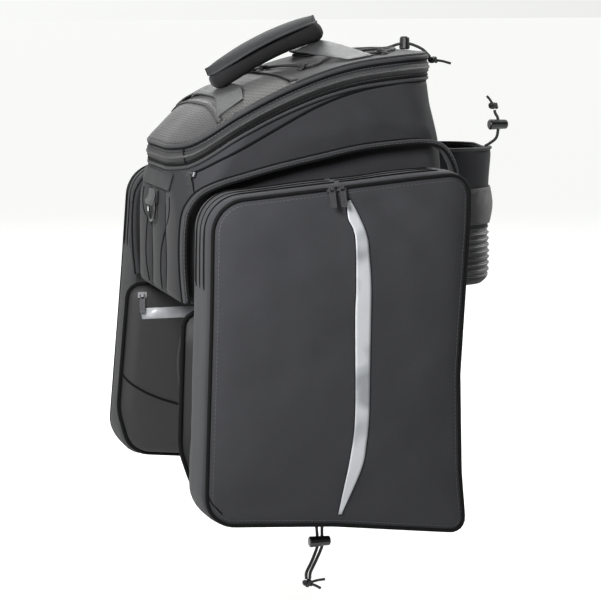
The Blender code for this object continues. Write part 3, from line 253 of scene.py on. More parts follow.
def smooth_path(points, step):
    """Points about a step apart on a smooth curve through the points given."""
    points = [Vector(point) for point in points]
    ends = [points[0] * 2 - points[1]] + points + [points[-1] * 2 - points[-2]]
    path = []
    for a, b, c, d in zip(ends, ends[1:], ends[2:], ends[3:]):
        count = max(1, round((c - b).length / step))
        for i in range(count):
            t = i / count
            low = b * 2 + (c - a) * t + (a * 2 - b * 5 + c * 4 - d) * t * t
            path.append((low + (b * 3 - a - c * 3 + d) * t * t * t) / 2)
    path.append(points[-1])
    return path


def even_ring(points, count):
    """A closed outline walked in equal steps."""
    lengths = [0.0]
    for a, b in zip(points, points[1:] + points[:1]):
        lengths.append(lengths[-1] + (b - a).length)
    ring = []
    index = 0
    for i in range(count):
        want = lengths[-1] * i / count
        while lengths[index + 1] < want:
            index += 1
        span = max(lengths[index + 1] - lengths[index], 1e-9)
        ring.append(mix(points[index], points[(index + 1) % len(points)], (want - lengths[index]) / span))
    return ring


def path_length(points):
    return sum((b - a).length for a, b in zip(points, points[1:]))


def grid_mesh(rings, closed=True, cap_first=False, cap_last=False):
    """Sheet drawn out from its first ring, ring by ring, with a map in metres along and across it."""
    bm = bmesh.new()
    uv = bm.loops.layers.uv.new("UVMap")
    first = [bm.verts.new(point) for point in rings[0]]
    pairs = list(zip(first, first[1:] + first[:1] if closed else first[1:]))
    edges = [bm.edges.new(pair) for pair in pairs]
    place_of = {}
    count = len(first)
    across = [0.0]
    widest = max(rings, key=lambda ring: path_length([Vector(point) for point in ring]))
    for a, b in zip(widest, list(widest[1:]) + [widest[0]]):
        across.append(across[-1] + (Vector(b) - Vector(a)).length)
    middle = count // 2
    along = 0.0
    for i, vert in enumerate(first):
        place_of[vert] = (i, 0.0)
    row = first
    first_edges = list(edges)
    for before, ring in zip(rings, rings[1:]):
        along += (Vector(ring[middle]) - Vector(before[middle])).length
        made = bmesh.ops.extrude_edge_only(bm, edges=edges)["geom"]
        fresh = {item for item in made if isinstance(item, bmesh.types.BMVert)}
        edges = [item for item in made if isinstance(item, bmesh.types.BMEdge) and set(item.verts) <= fresh]
        following = []
        for vert in row:
            following.append(next(e.other_vert(vert) for e in vert.link_edges if e.other_vert(vert) in fresh))
        for i, (vert, point) in enumerate(zip(following, ring)):
            vert.co = point
            place_of[vert] = (i, along)
        row = following
    for face in bm.faces:
        indices = [place_of[loop.vert][0] for loop in face.loops]
        wraps = closed and max(indices) == count - 1 and min(indices) == 0
        for loop, index in zip(face.loops, indices):
            loop[uv].uv = (across[count if wraps and index == 0 else index], place_of[loop.vert][1])
    if cap_first:
        bmesh.ops.edgeloop_fill(bm, edges=first_edges)
    if cap_last:
        bmesh.ops.edgeloop_fill(bm, edges=edges)
    bmesh.ops.remove_doubles(bm, verts=bm.verts, dist=MERGE_DISTANCE)
    bmesh.ops.dissolve_degenerate(bm, edges=bm.edges, dist=LEAST_EDGE)
    bmesh.ops.recalc_face_normals(bm, faces=bm.faces)
    return bm


def face_out(bm, centre):
    """Turns an open shell so that its faces look away from a point."""
    total = 0.0
    for face in bm.faces:
        total += (face.calc_center_median() - Vector(centre)).dot(face.normal) * face.calc_area()
    if total < 0:
        bmesh.ops.reverse_faces(bm, faces=bm.faces)
    return bm


def finish_piece(name, bm, look, node=None, wall=0.0, smooth=True):
    """Makes the piece's object, rides it on the bag and hides the node that it stands for."""
    mesh = bpy.data.meshes.new(name)
    bm.to_mesh(mesh)
    bm.free()
    if smooth:
        mesh.polygons.foreach_set("use_smooth", [True] * len(mesh.polygons))
    piece = bpy.data.objects.new(name, mesh)
    mesh.materials.append(look)
    bag.objects.link(piece)
    if wall:
        solidify = piece.modifiers.new("wall", "SOLIDIFY")
        solidify.thickness = wall
        solidify.offset = -1
        solidify.use_rim = True
    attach(piece, "bag")
    if node:
        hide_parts(node)
    return piece


def tube_mesh(path, radius, sides=ROUND_SIDES, flat=1.0, normals=None):
    """Round tube along a path, closed at its ends, with a map along it."""
    rings = []
    last = None
    for i, point in enumerate(path):
        run = (path[min(i + 1, len(path) - 1)] - path[max(i - 1, 0)]).normalized()
        if normals:
            lift = normals[i]
        elif last is None:
            lift = Vector((0, 0, 1)) if abs(run.z) < 0.8 else Vector((1, 0, 0))
        else:
            lift = last
        lift = (lift - run * run.dot(lift)).normalized()
        last = lift
        side = run.cross(lift)
        rings.append([
            point + side * radius * math.cos(2 * math.pi * k / sides)
            + lift * radius * flat * math.sin(2 * math.pi * k / sides)
            for k in range(sides)
        ])
    return grid_mesh(rings, cap_first=True, cap_last=True)


def band_mesh(path, normals, width, thickness, crown=0.0):
    """Flat tape along a path on a surface: its top, its edges and its back."""
    rings = []
    for i, (point, normal) in enumerate(zip(path, normals)):
        run = (path[min(i + 1, len(path) - 1)] - path[max(i - 1, 0)]).normalized()
        side = run.cross(normal).normalized()
        lift = side.cross(run).normalized()
        left = point - side * (width / 2)
        end = point + side * (width / 2)
        top = lift * thickness
        rings.append([left, left + top, point + lift * (thickness + crown), end + top, end])
    return grid_mesh(rings, cap_first=True, cap_last=True)


# Tracing lines that the photograph shows onto a surface
def sight_line(x, y):
    return (forward * FOCAL_PIXELS + right * (x - PICTURE / 2) - up * (y - PICTURE / 2)).normalized()


def trace(pixels, tree, step=2.5):
    """Points and normals where the lines of sight through a drawn line meet a surface."""
    drawn = smooth_path([Vector((x, y, 0)) for x, y in pixels], step)
    trees = tree if isinstance(tree, tuple) else (tree,)
    places = []
    normals = []
    for point in drawn:
        sight = sight_line(point.x, point.y)
        found = [one.ray_cast(CAMERA_PLACE, sight) for one in trees]
        hits = [result for result in found if result[0] is not None]
        if hits:
            hit, normal, _, _ = min(hits, key=lambda result: result[3])
            places.append(hit)
            normals.append(normal if normal.dot(CAMERA_PLACE - hit) > 0 else -normal)
    return calm(places), calm(normals)


def calm(points, rounds=2):
    """The same points with small jumps evened out."""
    for _ in range(rounds):
        inner = [(a + b * 2 + c) / 4 for a, b, c in zip(points, points[1:], points[2:])]
        points = [points[0]] + inner + [points[-1]]
    return points


def mirrored(points):
    return [Vector((point.x, -point.y, point.z)) for point in points]


def swung(points):
    """Points of the near pannier moved to the far one, which hangs a little swung to the front."""
    return [Vector((point.x + swing_of(point.z, 1), -point.y, point.z)) for point in points]


# Looks. The cloth's thread and depth are in metres, and its dye is uneven in large clouds and in fine grain
THREAD = 0.0007
WEAVE_DEPTH = 0.00012
DYE_CLOUDS = 0.14
DYE_GRAIN = 0.30


class Look:
    """A material with the nodes that its finish needs."""

    def __init__(self, name, roughness, metallic=0.0):
        self.material = bpy.data.materials.new(name)
        self.material.use_nodes = True
        self.nodes = self.material.node_tree.nodes
        self.link = self.material.node_tree.links.new
        self.shader = self.nodes["Principled BSDF"]
        self.set(Roughness=roughness, Metallic=metallic)
        self.coordinates = self.nodes.new("ShaderNodeTexCoord").outputs

    def set(self, **values):
        for socket, value in values.items():
            self.shader.inputs[socket.replace("_", " ")].default_value = value

    def maths(self, kind, *values):
        node = self.nodes.new("ShaderNodeMath")
        node.operation = kind
        for socket, value in zip(node.inputs, values):
            if isinstance(value, (int, float)):
                socket.default_value = value
            else:
                self.link(value, socket)
        return node.outputs[0]

    def level(self, pattern, change, base):
        return self.maths("MULTIPLY_ADD", pattern, change, base)

    def grain(self, scale, detail=2.0):
        node = self.nodes.new("ShaderNodeTexNoise")
        node.inputs["Scale"].default_value = scale
        node.inputs["Detail"].default_value = detail
        self.link(self.coordinates["Object"], node.inputs["Vector"])
        return node.outputs["Fac"]

    def cells(self, scale, uneven):
        node = self.nodes.new("ShaderNodeTexVoronoi")
        node.inputs["Scale"].default_value = scale
        node.inputs["Randomness"].default_value = uneven
        self.link(self.coordinates["Object"], node.inputs["Vector"])
        return node.outputs["Distance"]

    def ribs(self, direction, pitch, wobble=0.0):
        node = self.nodes.new("ShaderNodeTexWave")
        node.bands_direction = direction
        node.inputs["Scale"].default_value = 2 * math.pi / (20 * pitch)
        node.inputs["Distortion"].default_value = wobble
        self.link(self.coordinates["UV"], node.inputs["Vector"])
        return node.outputs["Fac"]

    def tint(self, colour, shade):
        """Base colour: one colour times a shade."""
        paint = self.nodes.new("ShaderNodeMix")
        paint.data_type = "RGBA"
        paint.blend_type = "MULTIPLY"
        paint.inputs["Factor"].default_value = 1.0
        paint.inputs[6].default_value = (*colour, 1.0)
        self.link(shade, paint.inputs[7])
        self.link(paint.outputs[2], self.shader.inputs["Base Color"])

    def two_tones(self, pattern, *tones):
        """Base colour: from one colour to another as a pattern goes from one level to another."""
        ramp = self.nodes.new("ShaderNodeValToRGB")
        for element, (position, colour) in zip(ramp.color_ramp.elements, tones):
            element.position = position
            element.color = (*colour, 1.0)
        self.link(pattern, ramp.inputs["Fac"])
        self.link(ramp.outputs["Color"], self.shader.inputs["Base Color"])

    def relief(self, height, strength, distance):
        bump = self.nodes.new("ShaderNodeBump")
        bump.inputs["Strength"].default_value = strength
        bump.inputs["Distance"].default_value = distance
        self.link(height, bump.inputs["Height"])
        self.link(bump.outputs["Normal"], self.shader.inputs["Normal"])


def cloth_look(name, colour, roughness=0.8, sheen=0.03):
    """Woven cloth: crossed threads, an uneven dye and a soft sheen."""
    look = Look(name, roughness)
    weave = look.maths("MAXIMUM", look.ribs("X", THREAD, 0.4), look.ribs("Y", THREAD, 0.4))
    grain = look.grain(1100.0)
    clouds = look.level(look.grain(18.0, 5.0), DYE_CLOUDS * 2, 1.0 - DYE_CLOUDS)
    shade = look.maths("MULTIPLY", clouds, look.level(grain, DYE_GRAIN * 2, 1.0 - DYE_GRAIN))
    look.tint(colour, look.maths("MULTIPLY", shade, look.level(weave, 0.16, 0.88)))
    look.relief(look.maths("ADD", weave, grain), 0.6, WEAVE_DEPTH)
    look.set(Sheen_Weight=sheen, Sheen_Roughness=0.5, Specular_IOR_Level=0.14)
    return look.material


def mesh_look(name, light, dark, hole):
    """Open spacer mesh over padding: rows of small dark holes."""
    look = Look(name, 0.8)
    holes = look.cells(1.0 / hole, 0.25)
    look.two_tones(holes, (0.25, dark), (0.62, light))
    look.relief(holes, 0.8, 0.0008)
    look.set(Sheen_Weight=0.05)
    return look.material


def ribbed_look(name, colour, pitch, depth=0.0004, roughness=0.6, contrast=0.5):
    """Finish with small ribs square to the run of its own map: webbing, zip coil, braid."""
    look = Look(name, roughness)
    ribs = look.ribs("Y", pitch)
    shade = look.level(ribs, contrast, 1.0 - contrast * 0.6)
    look.tint(colour, look.maths("MULTIPLY", shade, look.level(look.grain(900.0), 0.3, 0.85)))
    look.relief(ribs, 0.8, depth)
    return look.material


def worn_look(name, colour, roughness, metallic=0.0, scale=260.0, change=0.25):
    """Moulded or cast finish with a fine uneven surface."""
    look = Look(name, roughness, metallic)
    grain = look.grain(scale, 6.0)
    dark = [channel * (1 - change) for channel in colour]
    light = [channel * (1 + change) for channel in colour]
    look.two_tones(grain, (0.3, dark), (0.7, light))
    look.link(look.level(grain, 0.3, roughness - 0.15), look.shader.inputs["Roughness"])
    look.relief(grain, 0.5, 0.00008)
    return look.material


def reflective_look(name):
    """Silver reflective tape with a fine grid and grey worn places."""
    look = Look(name, 0.42, 0.15)
    look.two_tones(look.grain(22.0), (0.36, (0.130, 0.136, 0.146)), (0.50, (0.270, 0.276, 0.288)))
    look.relief(look.cells(700.0, 0.1), 0.4, 0.0001)
    return look.material


NYLON = cloth_look("charcoal_nylon", (0.0175, 0.0178, 0.0198))
# Copies of the charcoal nylon for the pannier's gusset: painted shade on its back part next to the trunk,
# painted light on its middle
GUSSET_NYLON_PAINTED_SHADE = cloth_look("gusset_nylon_painted_shade", (0.0075, 0.0078, 0.0088))
GUSSET_NYLON_PAINTED_LIGHT = cloth_look("gusset_nylon_painted_light", (0.0190, 0.0196, 0.0210))
# Charcoal nylon painted darker for the trunk's front: painted shade that offsets the key light falling hard
# on it
FRONT_NYLON_PAINTED_SHADE = cloth_look("front_nylon_painted_shade", (0.0135, 0.0138, 0.0150))
BAND_CLOTH = cloth_look("lid_band_cloth", (0.0115, 0.0125, 0.0145))
PANEL_CLOTH = cloth_look("lid_panel_cloth", (0.0150, 0.0152, 0.0160))
PATCH_CLOTH = cloth_look("patch_cloth", (0.0145, 0.0150, 0.0160))
LID_MESH = mesh_look("lid_spacer_mesh", (0.022, 0.022, 0.022), (0.005, 0.005, 0.005), hole=0.0020)
COARSE_MESH = mesh_look("lid_coarse_mesh", (0.030, 0.030, 0.029), (0.003, 0.003, 0.003), hole=0.0026)
WEB = ribbed_look("flat_webbing", (0.0240, 0.0245, 0.0260), 0.0011, contrast=0.3)
WEB_DARK = ribbed_look("dark_webbing", (0.0050, 0.0050, 0.0055), 0.0011)
# Near-black cloth for dark piping, and for the lines of painted shade at the front folds and along the lid's
# band
DARK_PIPING_AND_SHADE = cloth_look("dark_piping_and_painted_shade_cloth", (0.0008, 0.0008, 0.0010), roughness=0.9, sheen=0.0)
# Lighter piping cloth; on the lid's upper edge it is a painted highlight
LIGHT_PIPING_AND_HIGHLIGHT = cloth_look("light_piping_and_painted_highlight_cloth", (0.0230, 0.0235, 0.0250), roughness=0.7)
ZIP_TAPE = ribbed_look("zip_tape", (0.0040, 0.0040, 0.0044), 0.0010, contrast=0.3)
ZIP_COIL = ribbed_look("zip_coil", (0.0160, 0.0164, 0.0176), 0.0016, depth=0.0006, roughness=0.5)
BRAID = ribbed_look("braided_cord", (0.0035, 0.0035, 0.0040), 0.0018, roughness=0.7, contrast=0.6)
TAPE = reflective_look("reflective_tape")
STEEL = worn_look("zip_metal", (0.085, 0.085, 0.090), 0.38, metallic=0.85, scale=900.0)
BLACK_PLASTIC = worn_look("black_plastic", (0.0030, 0.0030, 0.0034), 0.35)
GRIP_CLOTH = cloth_look("grip_cloth", (0.0060, 0.0060, 0.0066))
PAD_CLOTH = cloth_look("pad_cloth", (0.0170, 0.0176, 0.0188))
BOARD_SKIN = worn_look("board_skin", (0.0024, 0.0024, 0.0028), 0.75, scale=1200.0, change=0.2)
STITCH = worn_look("stitching", (0.0260, 0.0264, 0.0280), 0.7, scale=900.0)


# Outlines of the soft pieces
def rounded_plan(front, rear, half_width, front_radius, rear_radius, counts):
    """Outline seen from above, anticlockwise. Counts: rear, rear corner, side, front corner, front."""
    rear_count, rear_steps, side_count, front_steps, front_count = counts
    points = []

    def run(start, end, count):
        points.extend(mix(Vector(start), Vector(end), i / count) for i in range(count))

    def arc(x, y, radius, first_angle, steps):
        for i in range(steps):
            angle = first_angle + math.pi / 2 * i / steps
            points.append(Vector((x + radius * math.cos(angle), y + radius * math.sin(angle))))

    run((rear, rear_radius - half_width), (rear, half_width - rear_radius), rear_count)
    arc(rear - rear_radius, half_width - rear_radius, rear_radius, 0.0, rear_steps)
    run((rear - rear_radius, half_width), (front + front_radius, half_width), side_count)
    arc(front + front_radius, half_width - front_radius, front_radius, math.pi / 2, front_steps)
    run((front, half_width - front_radius), (front, front_radius - half_width), front_count)
    arc(front + front_radius, front_radius - half_width, front_radius, math.pi, front_steps)
    run((front + front_radius, -half_width), (rear - rear_radius, -half_width), side_count)
    arc(rear - rear_radius, rear_radius - half_width, rear_radius, 1.5 * math.pi, rear_steps)
    return points


def rim_height(x):
    share = min(max((x - LID_FRONT) / LID_LENGTH, 0.0), 1.0)
    return RIM_FRONT_HEIGHT + RIM_RISE * curve_value(RIM_CURVE, share)


def dome_rise(x):
    share = min(max((x - LID_FRONT) / LID_LENGTH, 0.0), 1.0)
    return DOME_RISE * curve_value(DOME_CURVE, share)


def crest_height(x):
    return rim_height(x) + 2 * SEAM_GAP + BAND_HEIGHT + dome_rise(x)


def trunk_plan(share, inset, counts=(16, 10, 44, 20, 60)):
    """Outline of the trunk at a share of the way from its base to its lid, with the folds in front."""
    front = mix(TRUNK_FRONT, LID_FRONT, share) + inset
    rear = mix(TRUNK_REAR, LID_REAR, share) - inset
    front_radius = mix(TRUNK_FRONT_RADIUS, LID_FRONT_RADIUS, share)
    rear_radius = mix(TRUNK_REAR_RADIUS, LID_REAR_RADIUS, share)
    points = rounded_plan(front, rear, SIDE_Y - inset, front_radius, rear_radius, counts)
    folds = FOLD_DEPTH * (1 - share) * (1 - inset / BOTTOM_ROUND)
    for point in points:
        if abs(point.x - front) < FOLD_DEPTH:
            point.x += folds * 1.5 * (1 - abs(math.cos(math.pi * point.y / FOLD_PITCH)) ** 0.3)
    return points


def corner_points(before, corner, after, radius, steps=10):
    """Arc that rounds one corner of an outline."""
    to_before = (before - corner).normalized()
    to_after = (after - corner).normalized()
    half = to_before.angle(to_after) / 2
    if abs(half - math.pi / 2) < 0.02:
        return [corner]
    reach = radius / math.tan(half)
    start = corner + to_before * reach
    end = corner + to_after * reach
    centre = corner + (to_before + to_after).normalized() * radius / math.sin(half)
    points = []
    for i in range(steps + 1):
        along = mix(start, end, i / steps) - centre
        points.append(centre + along.normalized() * radius)
    return points


def corner_outline(table, box, count=220):
    """Rounded outline in even steps, from a table of corners in a box of front, bottom, length and height."""
    front, bottom, length, height = box
    corners = [Vector((front + along * length, bottom + up_share * height)) for along, up_share, _ in table]
    points = []
    for i, (corner, row) in enumerate(zip(corners, table)):
        following = corners[(i + 1) % len(corners)]
        points.extend(corner_points(corners[i - 1], corner, following, row[2] * PANNIER_CORNER))
    return even_ring(points, count)


def inset_outline(points, middle, size=1.0, inset=0.0):
    moved = []
    for i, point in enumerate(points):
        run = points[(i + 1) % len(points)] - points[i - 1]
        inward = Vector((-run.y, run.x)).normalized()
        moved.append(mix(middle, point + inward * inset, size))
    return moved


def swing_of(z, side, shift=0.0):
    if side < 0:
        return 0.0
    return shift + FAR_SHIFT + FAR_SWING * (PANNIER_TOP - z) / PANNIER_HEIGHT


PANNIER_BOX = (PANNIER_FRONT, PANNIER_BOTTOM, PANNIER_LENGTH, PANNIER_HEIGHT)
PANNIER_RING = corner_outline(PANNIER_CORNERS, PANNIER_BOX)
PANNIER_MIDDLE = Vector((PANNIER_FRONT + PANNIER_LENGTH * 0.5, PANNIER_BOTTOM + PANNIER_HEIGHT * 0.52))
BOARD_BOX = (BOARD_FRONT, BOARD_TOP - BOARD_HEIGHT, BOARD_LENGTH, BOARD_HEIGHT)
BOARD_RING = corner_outline(BOARD_CORNERS, BOARD_BOX, 160)
BOARD_MIDDLE = Vector((BOARD_FRONT + BOARD_LENGTH * 0.5, BOARD_TOP - BOARD_HEIGHT * 0.48))


def ripple(point, size, seed=0.0):
    """Uneven height of soft cloth at a place, from -1 to 1."""
    return noise.noise(Vector(point) / size + Vector((seed, seed * 0.37, seed * 0.71)))


# Creases on a pannier's front. Columns: start X and Z, end X and Z, half width, height
PANEL_CREASES = (
    (0.020, 0.118, 0.085, 0.055, 0.012, -0.0016),
    (0.045, 0.122, 0.108, 0.080, 0.010, 0.0014),
    (-0.100, 0.070, -0.060, 0.110, 0.016, 0.0012),
    (-0.105, -0.120, -0.040, -0.165, 0.016, -0.0014),
    (0.030, -0.150, 0.100, -0.120, 0.018, -0.0016),
    (0.035, -0.050, 0.105, -0.010, 0.022, -0.0012),
    (-0.095, -0.030, -0.025, 0.000, 0.026, 0.0012),
)

# Creases on the trunk's side. Columns as above
SIDE_CREASES = (
    (0.040, 0.185, 0.112, 0.166, 0.007, -0.0034),
    (0.050, 0.196, 0.116, 0.183, 0.006, 0.0022),
    (-0.030, 0.160, 0.060, 0.172, 0.010, -0.0020),
    (0.080, 0.208, 0.118, 0.198, 0.005, -0.0018),
)


def crease_height(x, z, creases):
    height = 0.0
    for x1, z1, x2, z2, reach, tall in creases:
        run = Vector((x2 - x1, z2 - z1))
        from_start = Vector((x - x1, z - z1))
        t = min(max(from_start.dot(run) / run.length_squared, 0.0), 1.0)
        away = (from_start - run * t).length
        fade = math.sin(math.pi * min(max(t * 0.9 + 0.05, 0.0), 1.0)) ** 0.5
        height += tall * fade * math.exp(-((away / reach) ** 2))
    return height


# Trunk
def trunk_shell_mesh():
    rings = []
    steps = 34
    for k in range(steps + 1):
        height = k / steps
        share = curve_value(TRUNK_SECTIONS, height)
        inset = curve_value(TRUNK_SECTIONS, height, 2) * BOTTOM_ROUND if height < 0.045 else 0.0
        ring = []
        for point in trunk_plan(max(share, 0.0), inset):
            top = rim_height(point.x)
            z = mix(TRUNK_BASE, top, height)
            x, y = point
            if 0.06 < height < 0.97:
                fade = min((height - 0.06) / 0.1, (0.97 - height) / 0.08, 1.0)
                soft = ripple((x, y, z), 0.045) * 0.0012 + ripple((x, y, z), 0.02, 3.0) * 0.0005
                if abs(abs(y) - SIDE_Y) < 0.004:
                    soft += crease_height(x, z, SIDE_CREASES)
                    y += math.copysign(min(soft, 0.0010) * fade - 0.0004, y)
                elif x > TRUNK_REAR - 0.02:
                    x += (soft - 0.0008) * fade
            ring.append((x, y, z))
        rings.append(ring)
    return face_out(grid_mesh(rings, cap_first=True), (0, 0, 0.1))


trunk_bm = trunk_shell_mesh()
trunk_tree = BVHTree.FromBMesh(trunk_bm)
trunk = finish_piece("trunk_cloth", trunk_bm, NYLON, "trunk_shell", TRUNK_WALL)

band_rings = []
for k in range(9):
    height = k / 8
    ring = []
    for point in trunk_plan(1.0, -BAND_BULGE * math.sin(math.pi * height)):
        ring.append((point.x, point.y, rim_height(point.x) + SEAM_GAP + BAND_HEIGHT * height))
    band_rings.append(ring)
band_bm = face_out(grid_mesh(band_rings), (0, 0, 0.2))
band_tree = BVHTree.FromBMesh(band_bm)
band = finish_piece("lid_band_cloth", band_bm, BAND_CLOTH, "lid_band", TRUNK_WALL)


def lid_rings():
    edge = trunk_plan(1.0, 0.0)
    rings = []
    shares = [(0.0, 0.0)] + [((k / 26) ** 1.5, 1.0) for k in range(27)]
    for share, skirt in shares:
        ring = []
        for point in edge:
            spine_x = min(max(point.x, LID_FRONT + SPINE_INSET), LID_REAR - SPINE_INSET)
            x = mix(point.x, spine_x, share)
            y = mix(point.y, 0.0, share)
            edge_z = crest_height(x) - dome_rise(x) + skirt * LID_SKIRT
            z = edge_z + (dome_rise(x) - LID_SKIRT) * (1 - (1 - share) ** 4)
            z += ripple((x, y, 0), 0.03, 5.0) * 0.0006 * min(share * 5, 1.0)
            ring.append((x, y, z))
        rings.append(ring)
    return rings


lid_bm = face_out(grid_mesh(lid_rings()), (0, 0, 0.1))
lid_tree = BVHTree.FromBMesh(lid_bm)
lid = finish_piece("lid_cloth", lid_bm, LID_MESH, "lid_top", TRUNK_WALL)
lid.data.materials.append(COARSE_MESH)
lid.data.materials.append(PANEL_CLOTH)
MESH_SEAM_X = -0.092
MESH_SEAM_BOW = 0.060
REAR_PANEL_X = -0.024


def mesh_seam(y):
    """Seam between the fine mesh at the front of the lid and the coarse mesh."""
    return MESH_SEAM_X - MESH_SEAM_BOW * max(abs(y) - 0.030, 0.0)


for polygon in lid.data.polygons:
    middle = polygon.center
    if middle.x > REAR_PANEL_X:
        polygon.material_index = 2
    elif middle.x > mesh_seam(middle.y):
        polygon.material_index = 1


def lid_surface_height(x, y):
    hit, _, _, _ = lid_tree.ray_cast(Vector((x, y, 1.0)), Vector((0, 0, -1)))
    return hit.z if hit else crest_height(x)


# Panniers
def pannier_body_mesh(side):
    rings = []
    steps = 20
    for k in range(steps + 1):
        depth = k / steps
        inset = curve_value(PANNIER_SECTIONS, depth) * PANNIER_TUCK
        ring = []
        for point in inset_outline(PANNIER_RING, PANNIER_MIDDLE, inset=inset):
            y = side * (PANNIER_BACK_Y + depth * PANNIER_DEPTH)
            x = point.x + swing_of(point.y, side)
            out = (point - PANNIER_MIDDLE).normalized()
            soft = ripple((x, y, point.y), 0.05, 9.0 + side) * 0.0012 * math.sin(math.pi * depth)
            if point.y < PANNIER_BOTTOM + 0.12:
                soft += ripple((x, y * 0.4, point.y), 0.022, 2.0 + side) * 0.0010 * math.sin(math.pi * depth)
            ring.append((x + out.x * soft, y, point.y + out.y * soft))
        rings.append(ring)
    return face_out(grid_mesh(rings, cap_first=True), (0, side * 0.14, -0.03))


def panel_mesh(side):
    seam_inset = PANNIER_SECTIONS[-1][1] * PANNIER_TUCK
    outline = inset_outline(PANNIER_RING, PANNIER_MIDDLE, inset=seam_inset)
    start = PANNIER_SEAM_Y + GAP + PANEL_RIM
    rings = []
    steps = 46
    for k in range(steps + 1):
        inward = (k / steps) ** 1.25 * INNERMOST_RING
        crown = curve_value(PANEL_SECTIONS, inward)
        ring = []
        for point in inset_outline(outline, PANNIER_MIDDLE, size=1 - inward):
            x, z = point
            fade = min(inward / 0.12, 1.0)
            soft = ripple((x, 0, z), 0.075, 4.0 + side) * 0.0034
            soft += ripple((x, 0, z), 0.028, 8.0 + side) * 0.0011
            soft += crease_height(x, z, PANEL_CREASES)
            y = start + crown * PANEL_CROWN + soft * fade - 0.0014 * fade
            ring.append((x + swing_of(z, side), side * y, z))
        rings.append(ring)
    return face_out(grid_mesh(rings, cap_last=True), (0, 0, -0.03))


def board_mesh(side):
    rings = []
    steps = 26
    for k in range(steps + 1):
        inward = (k / steps) ** 2.2 * INNERMOST_RING
        depth = curve_value(BOARD_SECTIONS, inward)
        ring = []
        for point in inset_outline(BOARD_RING, BOARD_MIDDLE, size=1 - inward):
            x, z = point
            y = PANNIER_BACK_Y - GAP - depth * BOARD_CROWN
            ring.append((x + swing_of(z, side, FAR_BOARD_SHIFT), side * y, z))
        rings.append(ring)
    return grid_mesh(rings, cap_first=True, cap_last=True)


body_trees = {}
panel_trees = {}
board_trees = {}
for side, suffix in SIDES:
    body_bm = pannier_body_mesh(side)
    body_trees[side] = BVHTree.FromBMesh(body_bm)
    body = finish_piece("pannier_gusset_" + suffix, body_bm, NYLON, "pannier_body_" + suffix, GUSSET_WALL)
    body.data.materials.append(GUSSET_NYLON_PAINTED_LIGHT)
    body.data.materials.append(GUSSET_NYLON_PAINTED_SHADE)
    # The gusset's middle gets painted light and its back part next to the trunk gets painted shade; its front
    # part keeps the plain nylon
    for polygon in body.data.polygons:
        depth = (abs(polygon.center.y) - PANNIER_BACK_Y) / PANNIER_DEPTH
        if 0.30 < depth < 0.86:
            polygon.material_index = 1
        elif depth <= 0.30:
            polygon.material_index = 2
    panel_bm = panel_mesh(side)
    panel_trees[side] = BVHTree.FromBMesh(panel_bm)
    finish_piece("pannier_panel_" + suffix, panel_bm, NYLON, "pannier_front_" + suffix, PANEL_WALL)
    board_bm = board_mesh(side)
    board_trees[side] = BVHTree.FromBMesh(board_bm)
    finish_piece("wheel_board_" + suffix, board_bm, BOARD_SKIN, "pannier_board_" + suffix)


# Seams, piping and zips laid on the cloth
def lay_piping(name, places, normals, radius, look, sink=PIPING_SINK):
    """Piping along a line, sunk into the cloth by a share of its thickness."""
    path = [place + normal * radius * (1 - 2 * sink) for place, normal in zip(places, normals)]
    return finish_piece(name, tube_mesh(path, radius), look)


def lay_piping_pair(name, places, normals, radius, sink, ends=("_near", "_far")):
    """Dark tube on the near side of the trunk, and its mirror image on the far side: piping at zips and
    seams, painted shadow at the edges of the front folds.
    """
    lay_piping(name + ends[0], places, normals, radius, DARK_PIPING_AND_SHADE, sink)
    lay_piping(name + ends[1], mirrored(places), mirrored(normals), radius, DARK_PIPING_AND_SHADE, sink)


def lay_tape(name, places, normals, width, thickness, look, crown=0.0):
    path = [place + normal * TAPE_LIFT for place, normal in zip(places, normals)]
    return finish_piece(name, band_mesh(path, normals, width, thickness, crown), look)


def lay_zip(name, places, normals, width):
    """Zip: tape with a closed coil down its middle."""
    lay_tape(name + "_tape", places, normals, width, ZIP_TAPE_THICKNESS, ZIP_TAPE)
    path = [place + normal * COIL_RISE for place, normal in zip(places, normals)]
    coil = tube_mesh(path, COIL_RADIUS, flat=COIL_FLATNESS, normals=normals)
    finish_piece(name + "_coil", coil, ZIP_COIL)


def lay_stitches(name, places, normals, size=STITCH_SIZE):
    """Row of stitches along a line on the cloth."""
    bm = bmesh.new()
    along = 0.0
    following = STITCH_PITCH
    for a, b, normal in zip(places, places[1:], normals):
        span = (b - a).length
        while span > 0 and following <= along + span:
            middle = mix(a, b, (following - along) / span) + normal * size * 0.6
            run = (b - a).normalized()
            side = run.cross(normal).normalized()
            turn = Matrix((run * STITCH_LENGTH, side * size * 1.6, normal * size)).transposed().to_4x4()
            bmesh.ops.create_cube(bm, size=1.0, matrix=Matrix.Translation(middle) @ turn)
            following += STITCH_PITCH
        along += span
    return finish_piece(name, bm, STITCH, smooth=False)


def hit_panel(side, x, z):
    """Place and normal on a pannier's front, met square from outside."""
    start = Vector((x, side * RAY_START, z))
    return panel_trees[side].ray_cast(start, Vector((0, -side, 0)))[:2]


def outline_on_panel(side, inset):
    """Closed line on a pannier's front at a distance in from its edge."""
    seam_inset = PANNIER_SECTIONS[-1][1] * PANNIER_TUCK
    places = []
    normals = []
    for point in inset_outline(PANNIER_RING, PANNIER_MIDDLE, inset=seam_inset + inset):
        hit, normal = hit_panel(side, point.x + swing_of(point.y, side), point.y)
        if hit:
            places.append(hit)
            normals.append(normal if normal.y * side > 0 else -normal)
    return places + places[:1], normals + normals[:1]


